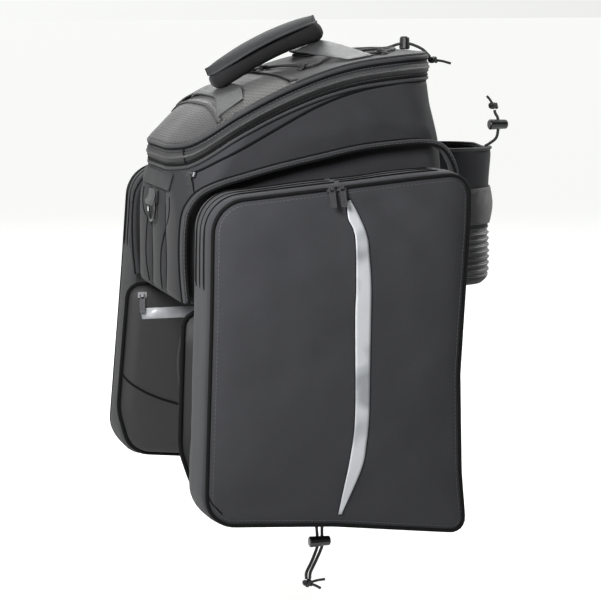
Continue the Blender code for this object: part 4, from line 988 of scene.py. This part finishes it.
def rim_ring(share_up, outward):
    """Closed line round the lid's band at a share of its height."""
    places = []
    normals = []
    plan = trunk_plan(1.0, -outward)
    for i, point in enumerate(plan):
        run = plan[(i + 1) % len(plan)] - plan[i - 1]
        places.append(Vector((point.x, point.y, rim_height(point.x) + SEAM_GAP + BAND_HEIGHT * share_up)))
        normals.append(Vector((run.y, -run.x, 0)).normalized())
    return places + places[:1], normals + normals[:1]


for side, suffix in SIDES:
    piping_line = outline_on_panel(side, PANEL_PIPING_INSET)
    lay_piping("panel_piping_" + suffix, *piping_line, PANEL_PIPING, DARK_PIPING_AND_SHADE, 0.3)
    lay_stitches("panel_stitches_" + suffix, *outline_on_panel(side, PANEL_STITCH_INSET))

# The light upper piping on the lid's band is a painted highlight on its lit edge; the two dark lines under it
# and above the lower piping are painted shade in the grooves
for name, share, outward, look in (
    ("lid_piping_upper_painted_highlight", 1.0, 0.0004, LIGHT_PIPING_AND_HIGHLIGHT), ("lid_piping_shade", 0.90, 0.0, DARK_PIPING_AND_SHADE),
    ("lid_piping_lower", 0.0, 0.0004, LIGHT_PIPING_AND_HIGHLIGHT), ("lid_lip_shade", 0.14, 0.0, DARK_PIPING_AND_SHADE),
):
    path = [place + normal * CORD_LIFT for place, normal in zip(*rim_ring(share, outward))]
    finish_piece(name, tube_mesh(path, LID_PIPING), look)
lay_zip("lid_zip", *rim_ring(0.5, BAND_BULGE), LID_ZIP_WIDTH)
for share in BAND_STITCH_LINES:
    line = rim_ring(share, BAND_BULGE * 0.6)
    lay_stitches("lid_band_stitches_" + str(int(share * 100)), *line, BAND_STITCH_SIZE)


# Front folds, patch and zip frames
def box_map(bm):
    """Map in metres laid from the side that each face looks to."""
    layer = bm.loops.layers.uv.verify()
    for face in bm.faces:
        normal = face.normal
        for loop in face.loops:
            x, y, z = loop.vert.co
            if abs(normal.z) >= max(abs(normal.x), abs(normal.y)):
                loop[layer].uv = (x, y)
            elif abs(normal.y) >= abs(normal.x):
                loop[layer].uv = (x, z)
            else:
                loop[layer].uv = (y, z)


def soft_copy(node, look, levels=2, keep=0.75):
    """Softer, finer form of a CAD node: its merged mesh, rounded between its sharp edges."""
    bm = bmesh.new()
    bm.from_mesh(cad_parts[node].data)
    bmesh.ops.remove_doubles(bm, verts=bm.verts, dist=LEAST_EDGE)
    bmesh.ops.dissolve_limit(bm, angle_limit=FLAT_ANGLE, verts=bm.verts, edges=bm.edges)
    bmesh.ops.recalc_face_normals(bm, faces=bm.faces)
    box_map(bm)
    crease = bm.edges.layers.float.new("crease_edge")
    for edge in bm.edges:
        if len(edge.link_faces) == 2 and edge.calc_face_angle(0.0) > SHARP_ANGLE:
            edge[crease] = keep
    piece = finish_piece(node + "_cloth", bm, look, node)
    smoothing = piece.modifiers.new("softness", "SUBSURF")
    smoothing.levels = levels
    smoothing.render_levels = levels


def frame_line(side, inset, depth):
    """Line along a zip frame, at a distance in from its outer edge and a share of its depth."""
    drawn = [(FRAME_FRONT + x * FRAME_LENGTH, 0, FRAME_BOTTOM + z * FRAME_HEIGHT) for x, z in FRAME_CURVE]
    path = smooth_path(drawn, 0.0025)
    places = []
    normals = []
    for i, point in enumerate(path):
        run = (path[min(i + 1, len(path) - 1)] - path[max(i - 1, 0)]).normalized()
        outward = Vector((-run.z, 0, run.x))
        place = point - outward * inset
        places.append(Vector((place.x, side * (SIDE_Y + GAP + FRAME_DEPTH * depth), place.z)))
        normals.append(outward)
    return places, normals


# Cross-section of a zip frame's lip. Columns: share of the lip in from its edge, share of its depth
FRAME_SECTION = (
    (0.0, 0.0), (1.0, 0.0), (1.0, 0.35), (0.96, 0.80), (0.80, 0.96), (0.5, 1.0), (0.2, 0.96), (0.04, 0.80),
    (0.0, 0.35),
)

# Columns: distance in from the frame's edge, share of its depth, radius, look
FRAME_PIPINGS = (
    (-0.0002, 0.10, 0.0014, DARK_PIPING_AND_SHADE), (0.0002, 0.88, 0.0013, LIGHT_PIPING_AND_HIGHLIGHT), (0.0034, 1.0, 0.0015, DARK_PIPING_AND_SHADE),
)

for side, suffix in SIDES:
    lines = [frame_line(side, FRAME_LIP * inset, depth)[0] for inset, depth in FRAME_SECTION]
    bm = grid_mesh([list(ring) for ring in zip(*lines)], cap_first=True, cap_last=True)
    finish_piece("frame_lip_" + suffix, bm, NYLON, "zip_frame_" + suffix)
    for k, (inset, depth, radius, look) in enumerate(FRAME_PIPINGS):
        places, _ = frame_line(side, inset, depth)
        finish_piece("frame_piping_" + suffix + "_" + str(k), tube_mesh(places, radius), look)
    outward = Vector((0, side, 0))
    places, _ = frame_line(side, 0.0016, 1.0)
    lay_stitches("frame_stitches_" + suffix, places, [outward] * len(places))

soft_copy("front_patch", PATCH_CLOTH)

# Lines drawn in pixels of the photograph
FOLD_LINES = (
    ((150, 197), (148, 215), (146, 243), (147, 265), (150.5, 284)),
    ((169.5, 197), (169, 215), (163, 240), (161, 255), (161, 275), (163, 292)),
)
TRUNK_ZIP = (
    (192, 173), (199, 171), (219, 161), (239, 150.5), (278, 128), (318, 106), (357.5, 91), (397, 83),
    (425, 80),
)
BAND_SEAM = ((183, 146), (185, 157), (187, 169))

# Dark lines of painted shadow at the edges of the overlapping front folds
for k, line in enumerate(FOLD_LINES):
    ends = ("_" + str(k), "_back_" + str(k))
    lay_piping_pair("fold_painted_shadow", *trace(line, trunk_tree, 3.0), FOLD_SHADOW_AND_SEAM_RADIUS, FOLD_SHADOW_SINK, ends)
lay_piping_pair("trunk_zip", *trace(TRUNK_ZIP, (trunk_tree, band_tree), 2.5), TRUNK_PIPING, PIPING_SINK)
places, normals = trace(BAND_SEAM, band_tree, 2.0)
lay_piping_pair("band_seam", places, normals, FOLD_SHADOW_AND_SEAM_RADIUS, 0.5)


def new_finish(piece, look, belongs):
    """Gives another look to the faces of a piece whose centres are in the region that it belongs to."""
    piece.data.materials.append(look)
    for polygon in piece.data.polygons:
        if belongs(polygon.center):
            polygon.material_index = len(piece.data.materials) - 1


TRUNK_FRONT_END = FRAME_FRONT + FRAME_LENGTH * 0.05
new_finish(band, PATCH_CLOTH, lambda centre: centre.x < places[0].x)
# The trunk's front below the rim gets the darker nylon: painted shade
new_finish(trunk, FRONT_NYLON_PAINTED_SHADE, lambda centre: centre.x < TRUNK_FRONT_END and centre.z < RIM_FRONT_HEIGHT)


SEAM_STEPS = 41
MESH_SEAM_NORMAL = Vector((-0.4, 0, 0.9))
PANEL_SEAM_NORMAL = Vector((-0.3, 0, 0.95))


def line_on_lid(spread, place_x):
    """Line across the lid, at the X that a function gives for each Y."""
    line = []
    for k in range(SEAM_STEPS):
        y = (k / (SEAM_STEPS - 1) - 0.5) * spread * SIDE_Y
        x = place_x(y)
        line.append(Vector((x, y, lid_surface_height(x, y))))
    return line


seam_line = calm(line_on_lid(1.84, mesh_seam))
lay_tape("mesh_seam_tape", seam_line, [MESH_SEAM_NORMAL] * SEAM_STEPS, 0.007, 0.0009, WEB_DARK, 0.0006)
seam_line = line_on_lid(1.90, lambda y: REAR_PANEL_X)
lay_tape("panel_seam_tape", calm(seam_line), [PANEL_SEAM_NORMAL] * SEAM_STEPS, 0.009, 0.0007, PANEL_CLOTH)
cord_line = [place + Vector((-0.0045, 0, 0.0004)) for place in seam_line]
finish_piece("panel_seam_cord", tube_mesh(cord_line, 0.0009, 6), DARK_PIPING_AND_SHADE)


# Handle
for node in ("handle_strap_front", "handle_strap_rear"):
    soft_copy(node, WEB, 2, 0.9)


def grip_line(along, bow):
    x = GRIP_FRONT + along * GRIP_LENGTH
    foot = crest_height(GRIP_FRONT) + GRIP_CLEARANCE + GRIP_THICKNESS / 2
    return x, foot + along * GRIP_LENGTH * GRIP_SLOPE + bow * GRIP_BOW


def rounded(value, power):
    """A sine or cosine made fuller or sharper, with its sign kept."""
    return math.copysign(abs(value) ** power, value)


def grip_mesh():
    rings = []
    for k in range(49):
        along = k / 48
        pucker = 1.0 - 0.03 * math.exp(-((along * 48 % 16) / 1.5) ** 2)
        half_width = GRIP_WIDTH / 2 * curve_value(GRIP_SECTIONS, along, 2)
        half_thickness = GRIP_THICKNESS / 2 * curve_value(GRIP_SECTIONS, along, 3)
        x, z = grip_line(along, curve_value(GRIP_SECTIONS, along, 1))
        ring = []
        for i in range(32):
            angle = 2 * math.pi * i / 32
            across = half_width * pucker * rounded(math.cos(angle), 0.86)
            up = half_thickness * pucker * rounded(math.sin(angle), 0.86)
            ring.append((x - up * GRIP_SLOPE, across, z + up))
        rings.append(ring)
    return grid_mesh(rings, cap_first=True, cap_last=True)


grip = finish_piece("grip_padding", face_out(grip_mesh(), (-0.03, 0, 0.25)), GRIP_CLOTH, "handle_grip")


PAD_MARGIN = 0.0032
PAD_DROOP = 0.0045


def pad_place(along, across, up):
    """Place on the pad over the grip: across in shares of half its width, up from its underside."""
    x, z = grip_line(along, curve_value(GRIP_SECTIONS, min(max(along, 0.0), 1.0), 1))
    rounding = max(1 - abs(2 * along - 1.0) ** 3.2, 0.0) ** 0.5
    half = (GRIP_WIDTH / 2 + PAD_MARGIN) * rounding
    rise = GRIP_THICKNESS * 0.44 - PAD_DROOP * across * across + up
    return Vector((x - rise * GRIP_SLOPE, across * half, z + rise))


def pad_mesh():
    rings = []
    steps = 44
    for k in range(steps + 1):
        along = -0.015 + 1.02 * (0.5 - 0.5 * math.cos(math.pi * (0.02 + 0.96 * k / steps)))
        ring = []
        for i in range(28):
            angle = 2 * math.pi * i / 28
            up = PAD_THICKNESS * (0.55 + 0.5 * rounded(math.sin(angle), 0.9))
            ring.append(pad_place(along, rounded(math.cos(angle), 0.8), up))
        rings.append(ring)
    return grid_mesh(rings, cap_first=True, cap_last=True)


pad = finish_piece("handle_top_pad", face_out(pad_mesh(), (-0.03, 0, 0.26)), PAD_CLOTH, "handle_pad")
binding = []
for k in range(120):
    angle = 2 * math.pi * k / 120
    edge = math.copysign(1.0, math.sin(angle))
    binding.append(pad_place(0.495 + 0.500 * math.cos(angle), edge, PAD_THICKNESS * 0.62))
finish_piece("pad_binding", tube_mesh(even_ring(binding, 150) + [binding[0]], BINDING), LIGHT_PIPING_AND_HIGHLIGHT)


# Rings, loops and rear pocket
for node in ("front_ring_loop", "rear_ring_loop"):
    soft_copy(node, WEB, 2, 0.85)
for k in range(4):
    soft_copy("lid_cord_loop_" + str(k + 1), WEB_DARK, 2, 0.85)
for _, suffix in SIDES:
    soft_copy("frame_pull_" + suffix, BRAID, 2, 0.5)

POCKET_COUNTS = (8, 24, 12, 4, 12)
POCKET_FRONT_RADIUS = 0.004
RIBS = 22
RIM_SAG = 0.005


def pocket_plan(grow, radius):
    return rounded_plan(
        POCKET_FRONT, POCKET_REAR + grow, POCKET_WIDTH / 2 + grow, POCKET_FRONT_RADIUS, radius, POCKET_COUNTS
    )


def rim_sag(y):
    """How far the pocket's rim hangs down between its corners."""
    return max(RIM_SAG * math.cos(y / POCKET_WIDTH * 2 * math.pi), 0.0) * 0.4


def pocket_mesh():
    rings = []
    for k in range(73):
        height = k / 72
        low = min(max((0.44 - height) / 0.05, 0.0), 1.0) * min(max((height - 0.05) / 0.04, 0.0), 1.0)
        grow = curve_value(POCKET_SECTIONS, height) * RIB_DEPTH
        grow += low * RIB_DEPTH * 0.6 * math.sin(2 * math.pi * height * RIBS)
        ring = []
        for point in pocket_plan(grow, POCKET_RADIUS + grow):
            soft = ripple((point.x, point.y, height * 0.1), 0.03, 6.0) * 0.0010 * min(height * 4, 1.0)
            z = POCKET_BOTTOM + height * POCKET_HEIGHT - rim_sag(point.y) * max((height - 0.8) / 0.2, 0.0)
            ring.append((point.x + max(soft, -0.0008), point.y, z))
        rings.append(ring)
    return face_out(grid_mesh(rings, cap_first=True), (0.17, 0, 0.06))


pocket = finish_piece("bottle_pocket_cloth", pocket_mesh(), NYLON, "bottle_pocket", POCKET_WALL)
RIBS_BOTTOM = POCKET_BOTTOM + 0.05 * POCKET_HEIGHT
RIBS_TOP = POCKET_BOTTOM + 0.41 * POCKET_HEIGHT
new_finish(pocket, ZIP_COIL, lambda centre: RIBS_BOTTOM < centre.z < RIBS_TOP)
rim = pocket_plan(RIB_DEPTH * 0.6, POCKET_RADIUS)
rim_path = []
for point in rim + rim[:1]:
    rim_path.append(Vector((point.x, point.y, POCKET_BOTTOM + POCKET_HEIGHT - rim_sag(point.y) + 0.0006)))
finish_piece("pocket_rim_piping", tube_mesh(rim_path, LID_PIPING), LIGHT_PIPING_AND_HIGHLIGHT)
soft_copy("light_strap", WEB_DARK, 2, 0.8)


# Pannier zips and seams
ZIP_END_Z = 0.019
ZIP_END_X = 0.104
GUSSET_ZIPS = (("gusset_zip", 0.52, 0.0011), ("panel_zip_inner", 0.68, 0.0008), ("panel_zip", 0.84, 0.0011))
SIDE_SEAM = ((212, 305), (212, 350), (210, 400), (208, 450), (206.5, 480), (210, 500), (222, 514))
STRIPE_LEFT = (
    (347, 201), (348, 219), (355, 236), (356, 288), (355, 318), (355, 412), (351, 452), (343, 491),
    (338, 514),
)
STRIPE_RIGHT = (
    (350, 200), (358, 214), (367, 236), (369.5, 260), (371, 288), (370, 350), (369, 412), (366, 444),
    (361, 469), (341, 514),
)


def gusset_line(side, depth):
    """Line along a pannier's gusset at a share of its depth, from its front edge's middle over its top."""
    ring = [point for point in PANNIER_RING if point.x < ZIP_END_X and point.y > ZIP_END_Z]
    ring.sort(key=lambda point: (point - PANNIER_MIDDLE).angle_signed(Vector((0, -1))))
    places = []
    normals = []
    y = side * (PANNIER_BACK_Y + depth * PANNIER_DEPTH)
    for point in ring:
        out = (point - PANNIER_MIDDLE).normalized()
        start = PANNIER_MIDDLE + out * RAY_START
        hit, normal, _, _ = body_trees[side].ray_cast(
            Vector((start.x + swing_of(point.y, side), y, start.y)), Vector((-out.x, 0, -out.y))
        )
        if hit is not None:
            places.append(hit)
            normals.append(normal if normal.x * out.x + normal.z * out.y > 0 else -normal)
    return calm(places), calm(normals)


for side, suffix in SIDES:
    for name, depth, radius in GUSSET_ZIPS:
        places, normals = gusset_line(side, depth)
        lay_piping(name + "_" + suffix, places, normals, radius, DARK_PIPING_AND_SHADE)

for name, line in (
    ("side_seam", SIDE_SEAM), ("stripe_edge_left", STRIPE_LEFT), ("stripe_edge_right", STRIPE_RIGHT),
):
    places, normals = trace(line, (panel_trees[-1], body_trees[-1]))
    lay_piping(name + "_near", places, normals, THIN_PIPING, DARK_PIPING_AND_SHADE)
    lay_piping(name + "_far", swung(places), mirrored(normals), THIN_PIPING, DARK_PIPING_AND_SHADE)

STRIPE_STEPS = 90
STRIPE_COLUMNS = 6
STRIPE_STAND = 0.0006
STRIPE_MAP = (0.015, 0.32)
edge_a, _ = trace(STRIPE_LEFT, panel_trees[-1])
edge_b, _ = trace(STRIPE_RIGHT, panel_trees[-1])


def stripe_mesh(side):
    """Tape between its two edges, laid on the front of a pannier."""
    bm = bmesh.new()
    layer = bm.loops.layers.uv.verify()
    rows = []
    for k in range(STRIPE_STEPS + 1):
        share = k / STRIPE_STEPS
        a = edge_a[int(share * (len(edge_a) - 1))]
        b = edge_b[int(share * (len(edge_b) - 1))]
        row = []
        for j in range(STRIPE_COLUMNS + 1):
            place = mix(a, b, j / STRIPE_COLUMNS)
            if side > 0:
                place = swung([place])[0]
            hit, _ = hit_panel(side, place.x, place.z)
            y = (hit.y if hit else place.y) + side * STRIPE_STAND
            row.append(bm.verts.new((place.x, y, place.z)))
        rows.append(row)
    for k, (row, following) in enumerate(zip(rows, rows[1:])):
        for j in range(STRIPE_COLUMNS):
            face = bm.faces.new((row[j], row[j + 1], following[j + 1], following[j]))
            for loop, (u, v) in zip(face.loops, ((j, k), (j + 1, k), (j + 1, k + 1), (j, k + 1))):
                loop[layer].uv = (u / STRIPE_COLUMNS * STRIPE_MAP[0], v / STRIPE_STEPS * STRIPE_MAP[1])
    return face_out(bm, (0, side * 0.10, -0.03))


for side, suffix in SIDES:
    finish_piece("stripe_tape_" + suffix, stripe_mesh(side), TAPE, "pannier_stripe_" + suffix, STRIPE_WALL)

# Wheel boards
BOARD_SEAM = ((119.5, 368), (127.5, 380.5), (142, 390.5), (159, 398), (176, 403.2), (184, 405))
LOOSE_ZIP = (
    (181.5, 335), (179, 350), (178, 362), (178.5, 376), (181, 391), (179, 405), (180.5, 420), (184, 436),
)

for side, suffix in SIDES:
    path = []
    for point in inset_outline(BOARD_RING, BOARD_MIDDLE, inset=-0.0016):
        x = point.x + swing_of(point.y, side, FAR_BOARD_SHIFT)
        path.append(Vector((x, side * PANNIER_BACK_Y, point.y)))
    finish_piece("board_zip_" + suffix, tube_mesh(path + path[:1], BOARD_PIPING), DARK_PIPING_AND_SHADE)

# The photograph shows the far board, and the near one has the same lines
for name, line, radius, look in (
    ("board_seam", BOARD_SEAM, 0.0012, DARK_PIPING_AND_SHADE), ("loose_zip", LOOSE_ZIP, 0.0014, LIGHT_PIPING_AND_HIGHLIGHT),
):
    places, normals = trace(line, board_trees[1])
    lay_piping(name + "_far", places, normals, radius, look, BOARD_SINK)
    moved = []
    for place in places:
        moved.append(Vector((place.x - swing_of(place.z, 1, FAR_BOARD_SHIFT), -place.y, place.z)))
    lay_piping(name + "_near", moved, mirrored(normals), radius, look, BOARD_SINK)
for _, suffix in SIDES:
    soft_copy("board_strip_" + suffix, TAPE, 1, 0.95)


# Pieces that stay as the frame has them
for node in (
    "rack_plate", "front_ring", "rear_ring", "lid_cord_lock", "pocket_cord_lock", "pannier_cord_lock",
):
    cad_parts[node].material_slots[0].material = BLACK_PLASTIC
STEEL_NODES = ["lid_slider"]
for _, suffix in SIDES:
    for name in (
        "front_slider_a_", "front_slider_b_", "front_tab_a_", "front_tab_b_", "board_slider_", "board_tab_",
        "frame_slider_",
    ):
        STEEL_NODES.append(name + suffix)
for node in STEEL_NODES:
    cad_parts[node].material_slots[0].material = STEEL


# Cords
def lid_cord_points(table):
    points = []
    for x, y in table:
        steps = (-CORD / 2, 0, CORD / 2)
        ground = max(lid_surface_height(x + d, y + e) for d in steps for e in steps)
        points.append(Vector((x, y, ground + CORD / 2 + CORD_LIFT)))
    return points


def cord_piece(name, points, node):
    path = smooth_path(points, 0.0012)
    return finish_piece(name, tube_mesh(path, CORD / 2, CORD_SIDES), BRAID, node), path


LID_CORD_A = (
    (-0.030, 0.052), (-0.018, 0.028), (-0.009, 0.003), (-0.004, -0.030), (-0.002, -0.058), (0.006, -0.066),
    (0.016, -0.058), (0.025, -0.049), (0.037, -0.038), (0.060, -0.024), (0.086, -0.022), (0.097, -0.034),
    (0.090, -0.054), (0.072, -0.072), (0.055, -0.074),
)
LID_CORD_B = ((0.020, 0.052), (0.036, 0.030), (0.060, 0.012), (0.082, -0.004), (0.097, -0.014))
LID_CORD_REAR = (
    (0.1080, -0.0188, 0.2476), (0.1147, -0.0200, 0.2478), (0.1214, -0.0212, 0.2476),
    (0.1334, -0.0200, 0.2427), (0.1418, -0.0200, 0.2352),
)
POCKET_CORD = (
    (0.2030, -0.0200, 0.1437), (0.2084, -0.0200, 0.1466), (0.2150, -0.0200, 0.1516),
    (0.2170, -0.0200, 0.1590), (0.2168, -0.0200, 0.1655), (0.2166, -0.0200, 0.1720),
    (0.2140, -0.0200, 0.1765), (0.2128, -0.0200, 0.1800),
)
# X of each strand's top, then the X and Z of its places below the pannier
PANNIER_CORDS = (
    ("a", -0.0165, (
        (-0.0149, -0.2160), (-0.0149, -0.2222), (-0.0151, -0.2284), (-0.0205, -0.2420), (-0.0255, -0.2520),
        (-0.0258, -0.2586),
    )),
    ("b", -0.0100, (
        (-0.0101, -0.2160), (-0.0101, -0.2222), (-0.0103, -0.2284), (-0.0165, -0.2420), (-0.0215, -0.2520),
        (-0.0224, -0.2586),
    )),
)
KNOT_RADIUS = 0.0042


def knot_mesh(middle, tails, radius):
    """Cord wound into a small overhand knot, with its tails."""
    turns = []
    for k in range(65):
        t = 2 * math.pi * k / 64
        x = (math.sin(t) + 2 * math.sin(2 * t)) * 0.30
        y = (math.cos(t) - 2 * math.cos(2 * t)) * 0.26
        turns.append(Vector((x, y, -math.sin(3 * t) * 0.42)) * radius * 1.12 + middle)
    bm = tube_mesh(turns, radius * 0.36)
    for tail in tails:
        end = Vector(tail)
        start = middle + (end - middle).normalized() * radius * 0.3
        path = smooth_path([start, mix(start, end, 0.5) + Vector((0, 0, 0.0006)), end], 0.0015)
        part = bpy.data.meshes.new("tail")
        tail_bm = tube_mesh(path, THIN_CORD / 2)
        tail_bm.to_mesh(part)
        tail_bm.free()
        bm.from_mesh(part)
        bpy.data.meshes.remove(part)
    return bm


KNOTS = (
    ("lid_cord_knot", (0.1455, -0.0200, 0.2318), ((0.1640, -0.0210, 0.2280),)),
    ("pocket_cord_knot", (0.2120, -0.0200, 0.1845), ((0.2044, -0.0200, 0.1945),)),
    ("pannier_cord_knot", (-0.0241, -0.1400, -0.2629), (
        (-0.0070, -0.1400, -0.2605), (-0.0120, -0.1420, -0.2685),
    )),
)
for node, middle, tails in KNOTS:
    bm = knot_mesh(Vector(middle), tails, KNOT_RADIUS)
    finish_piece(node + "_turns", bm, BRAID, node)

cord_piece("lid_cord_held", lid_cord_points(LID_CORD_A), "lid_cord_a")
lid_path = lid_cord_points(LID_CORD_B) + [Vector(point) for point in LID_CORD_REAR]
lid_free, lid_line = cord_piece("lid_cord_free", lid_path, "lid_cord_b")
pocket_free, pocket_line = cord_piece("pocket_drawcord", [Vector(p) for p in POCKET_CORD], "pocket_cord")
for letter, top_x, table in PANNIER_CORDS:
    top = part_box("pannier_cord_" + letter)[1][2]
    points = [Vector((x, PANNIER_CORD_Y, z)) for x, z in ((top_x, top),) + table]
    cord_piece("pannier_drawcord_" + letter, points, "pannier_cord_" + letter)


# Room and lights
FLOOR_Z = -0.300
FLOOR_REACH = 30.0
FLOOR_PAINT = (0.40, 0.40, 0.397, 1.0)
ROOM_WHITE = (0.99, 1.0, 0.985, 1.0)
FLOOR_GLOW = 0.68
floor_place = Matrix.Translation((0, 0, FLOOR_Z))
floor_bm = bmesh.new()
bmesh.ops.create_grid(floor_bm, x_segments=2, y_segments=2, size=FLOOR_REACH, matrix=floor_place)
floor_mesh = bpy.data.meshes.new("floor")
floor_bm.to_mesh(floor_mesh)
floor_bm.free()
floor = bpy.data.objects.new("floor", floor_mesh)
bag.objects.link(floor)
floor_look = bpy.data.materials.new("floor_paint")
floor_look.use_nodes = True
floor_shader = floor_look.node_tree.nodes["Principled BSDF"]
floor_shader.inputs["Base Color"].default_value = FLOOR_PAINT
floor_shader.inputs["Roughness"].default_value = 0.9
floor_shader.inputs["Emission Color"].default_value = ROOM_WHITE
floor_shader.inputs["Emission Strength"].default_value = FLOOR_GLOW
floor.data.materials.append(floor_look)


def area_light(name, place, target, size, power):
    lamp = bpy.data.lights.new(name, "AREA")
    lamp.shape = "DISK"
    lamp.size = size
    lamp.energy = power
    lamp_object = bpy.data.objects.new(name, lamp)
    lamp_object.location = place
    lamp_object.rotation_euler = (Vector(target) - Vector(place)).to_track_quat("-Z", "Y").to_euler()
    lamp_object.visible_camera = False
    bag.objects.link(lamp_object)


area_light("key_light", (-0.50, -0.58, 0.42), (-0.02, -0.15, 0.02), 0.30, 17.5)
area_light("back_light", (0.4, 1.8, 1.6), (0.0, 0.0, 0.1), 1.2, 60.0)
area_light("side_light", (1.2, 0.35, 0.9), (0.1, 0.0, 0.0), 0.7, 22.0)

# The room is brighter behind the bag, towards one direction, and never darker than WORLD_LEAST
BRIGHT_SIDE = (-0.30, 0.90, 0.32)
WORLD_MIDDLE = 0.44
WORLD_CHANGE = 0.62
WORLD_LEAST = 0.10

world = bpy.data.worlds.new("studio")
world.use_nodes = True
world_nodes = world.node_tree.nodes
world_links = world.node_tree.links
direction = world_nodes.new("ShaderNodeVectorMath")
direction.operation = "DOT_PRODUCT"
direction.inputs[1].default_value = BRIGHT_SIDE
world_links.new(world_nodes.new("ShaderNodeTexCoord").outputs["Generated"], direction.inputs[0])
strength = world_nodes.new("ShaderNodeMath")
strength.operation = "MULTIPLY_ADD"
strength.inputs[1].default_value = WORLD_CHANGE
strength.inputs[2].default_value = WORLD_MIDDLE
world_links.new(direction.outputs["Value"], strength.inputs[0])
world_nodes["Background"].inputs["Color"].default_value = ROOM_WHITE
lowest_strength = world_nodes.new("ShaderNodeMath")
lowest_strength.operation = "MAXIMUM"
lowest_strength.inputs[1].default_value = WORLD_LEAST
world_links.new(strength.outputs[0], lowest_strength.inputs[0])
world_links.new(lowest_strength.outputs[0], world_nodes["Background"].inputs["Strength"])
bpy.context.scene.world = world
bpy.context.scene.view_settings.view_transform = "Standard"
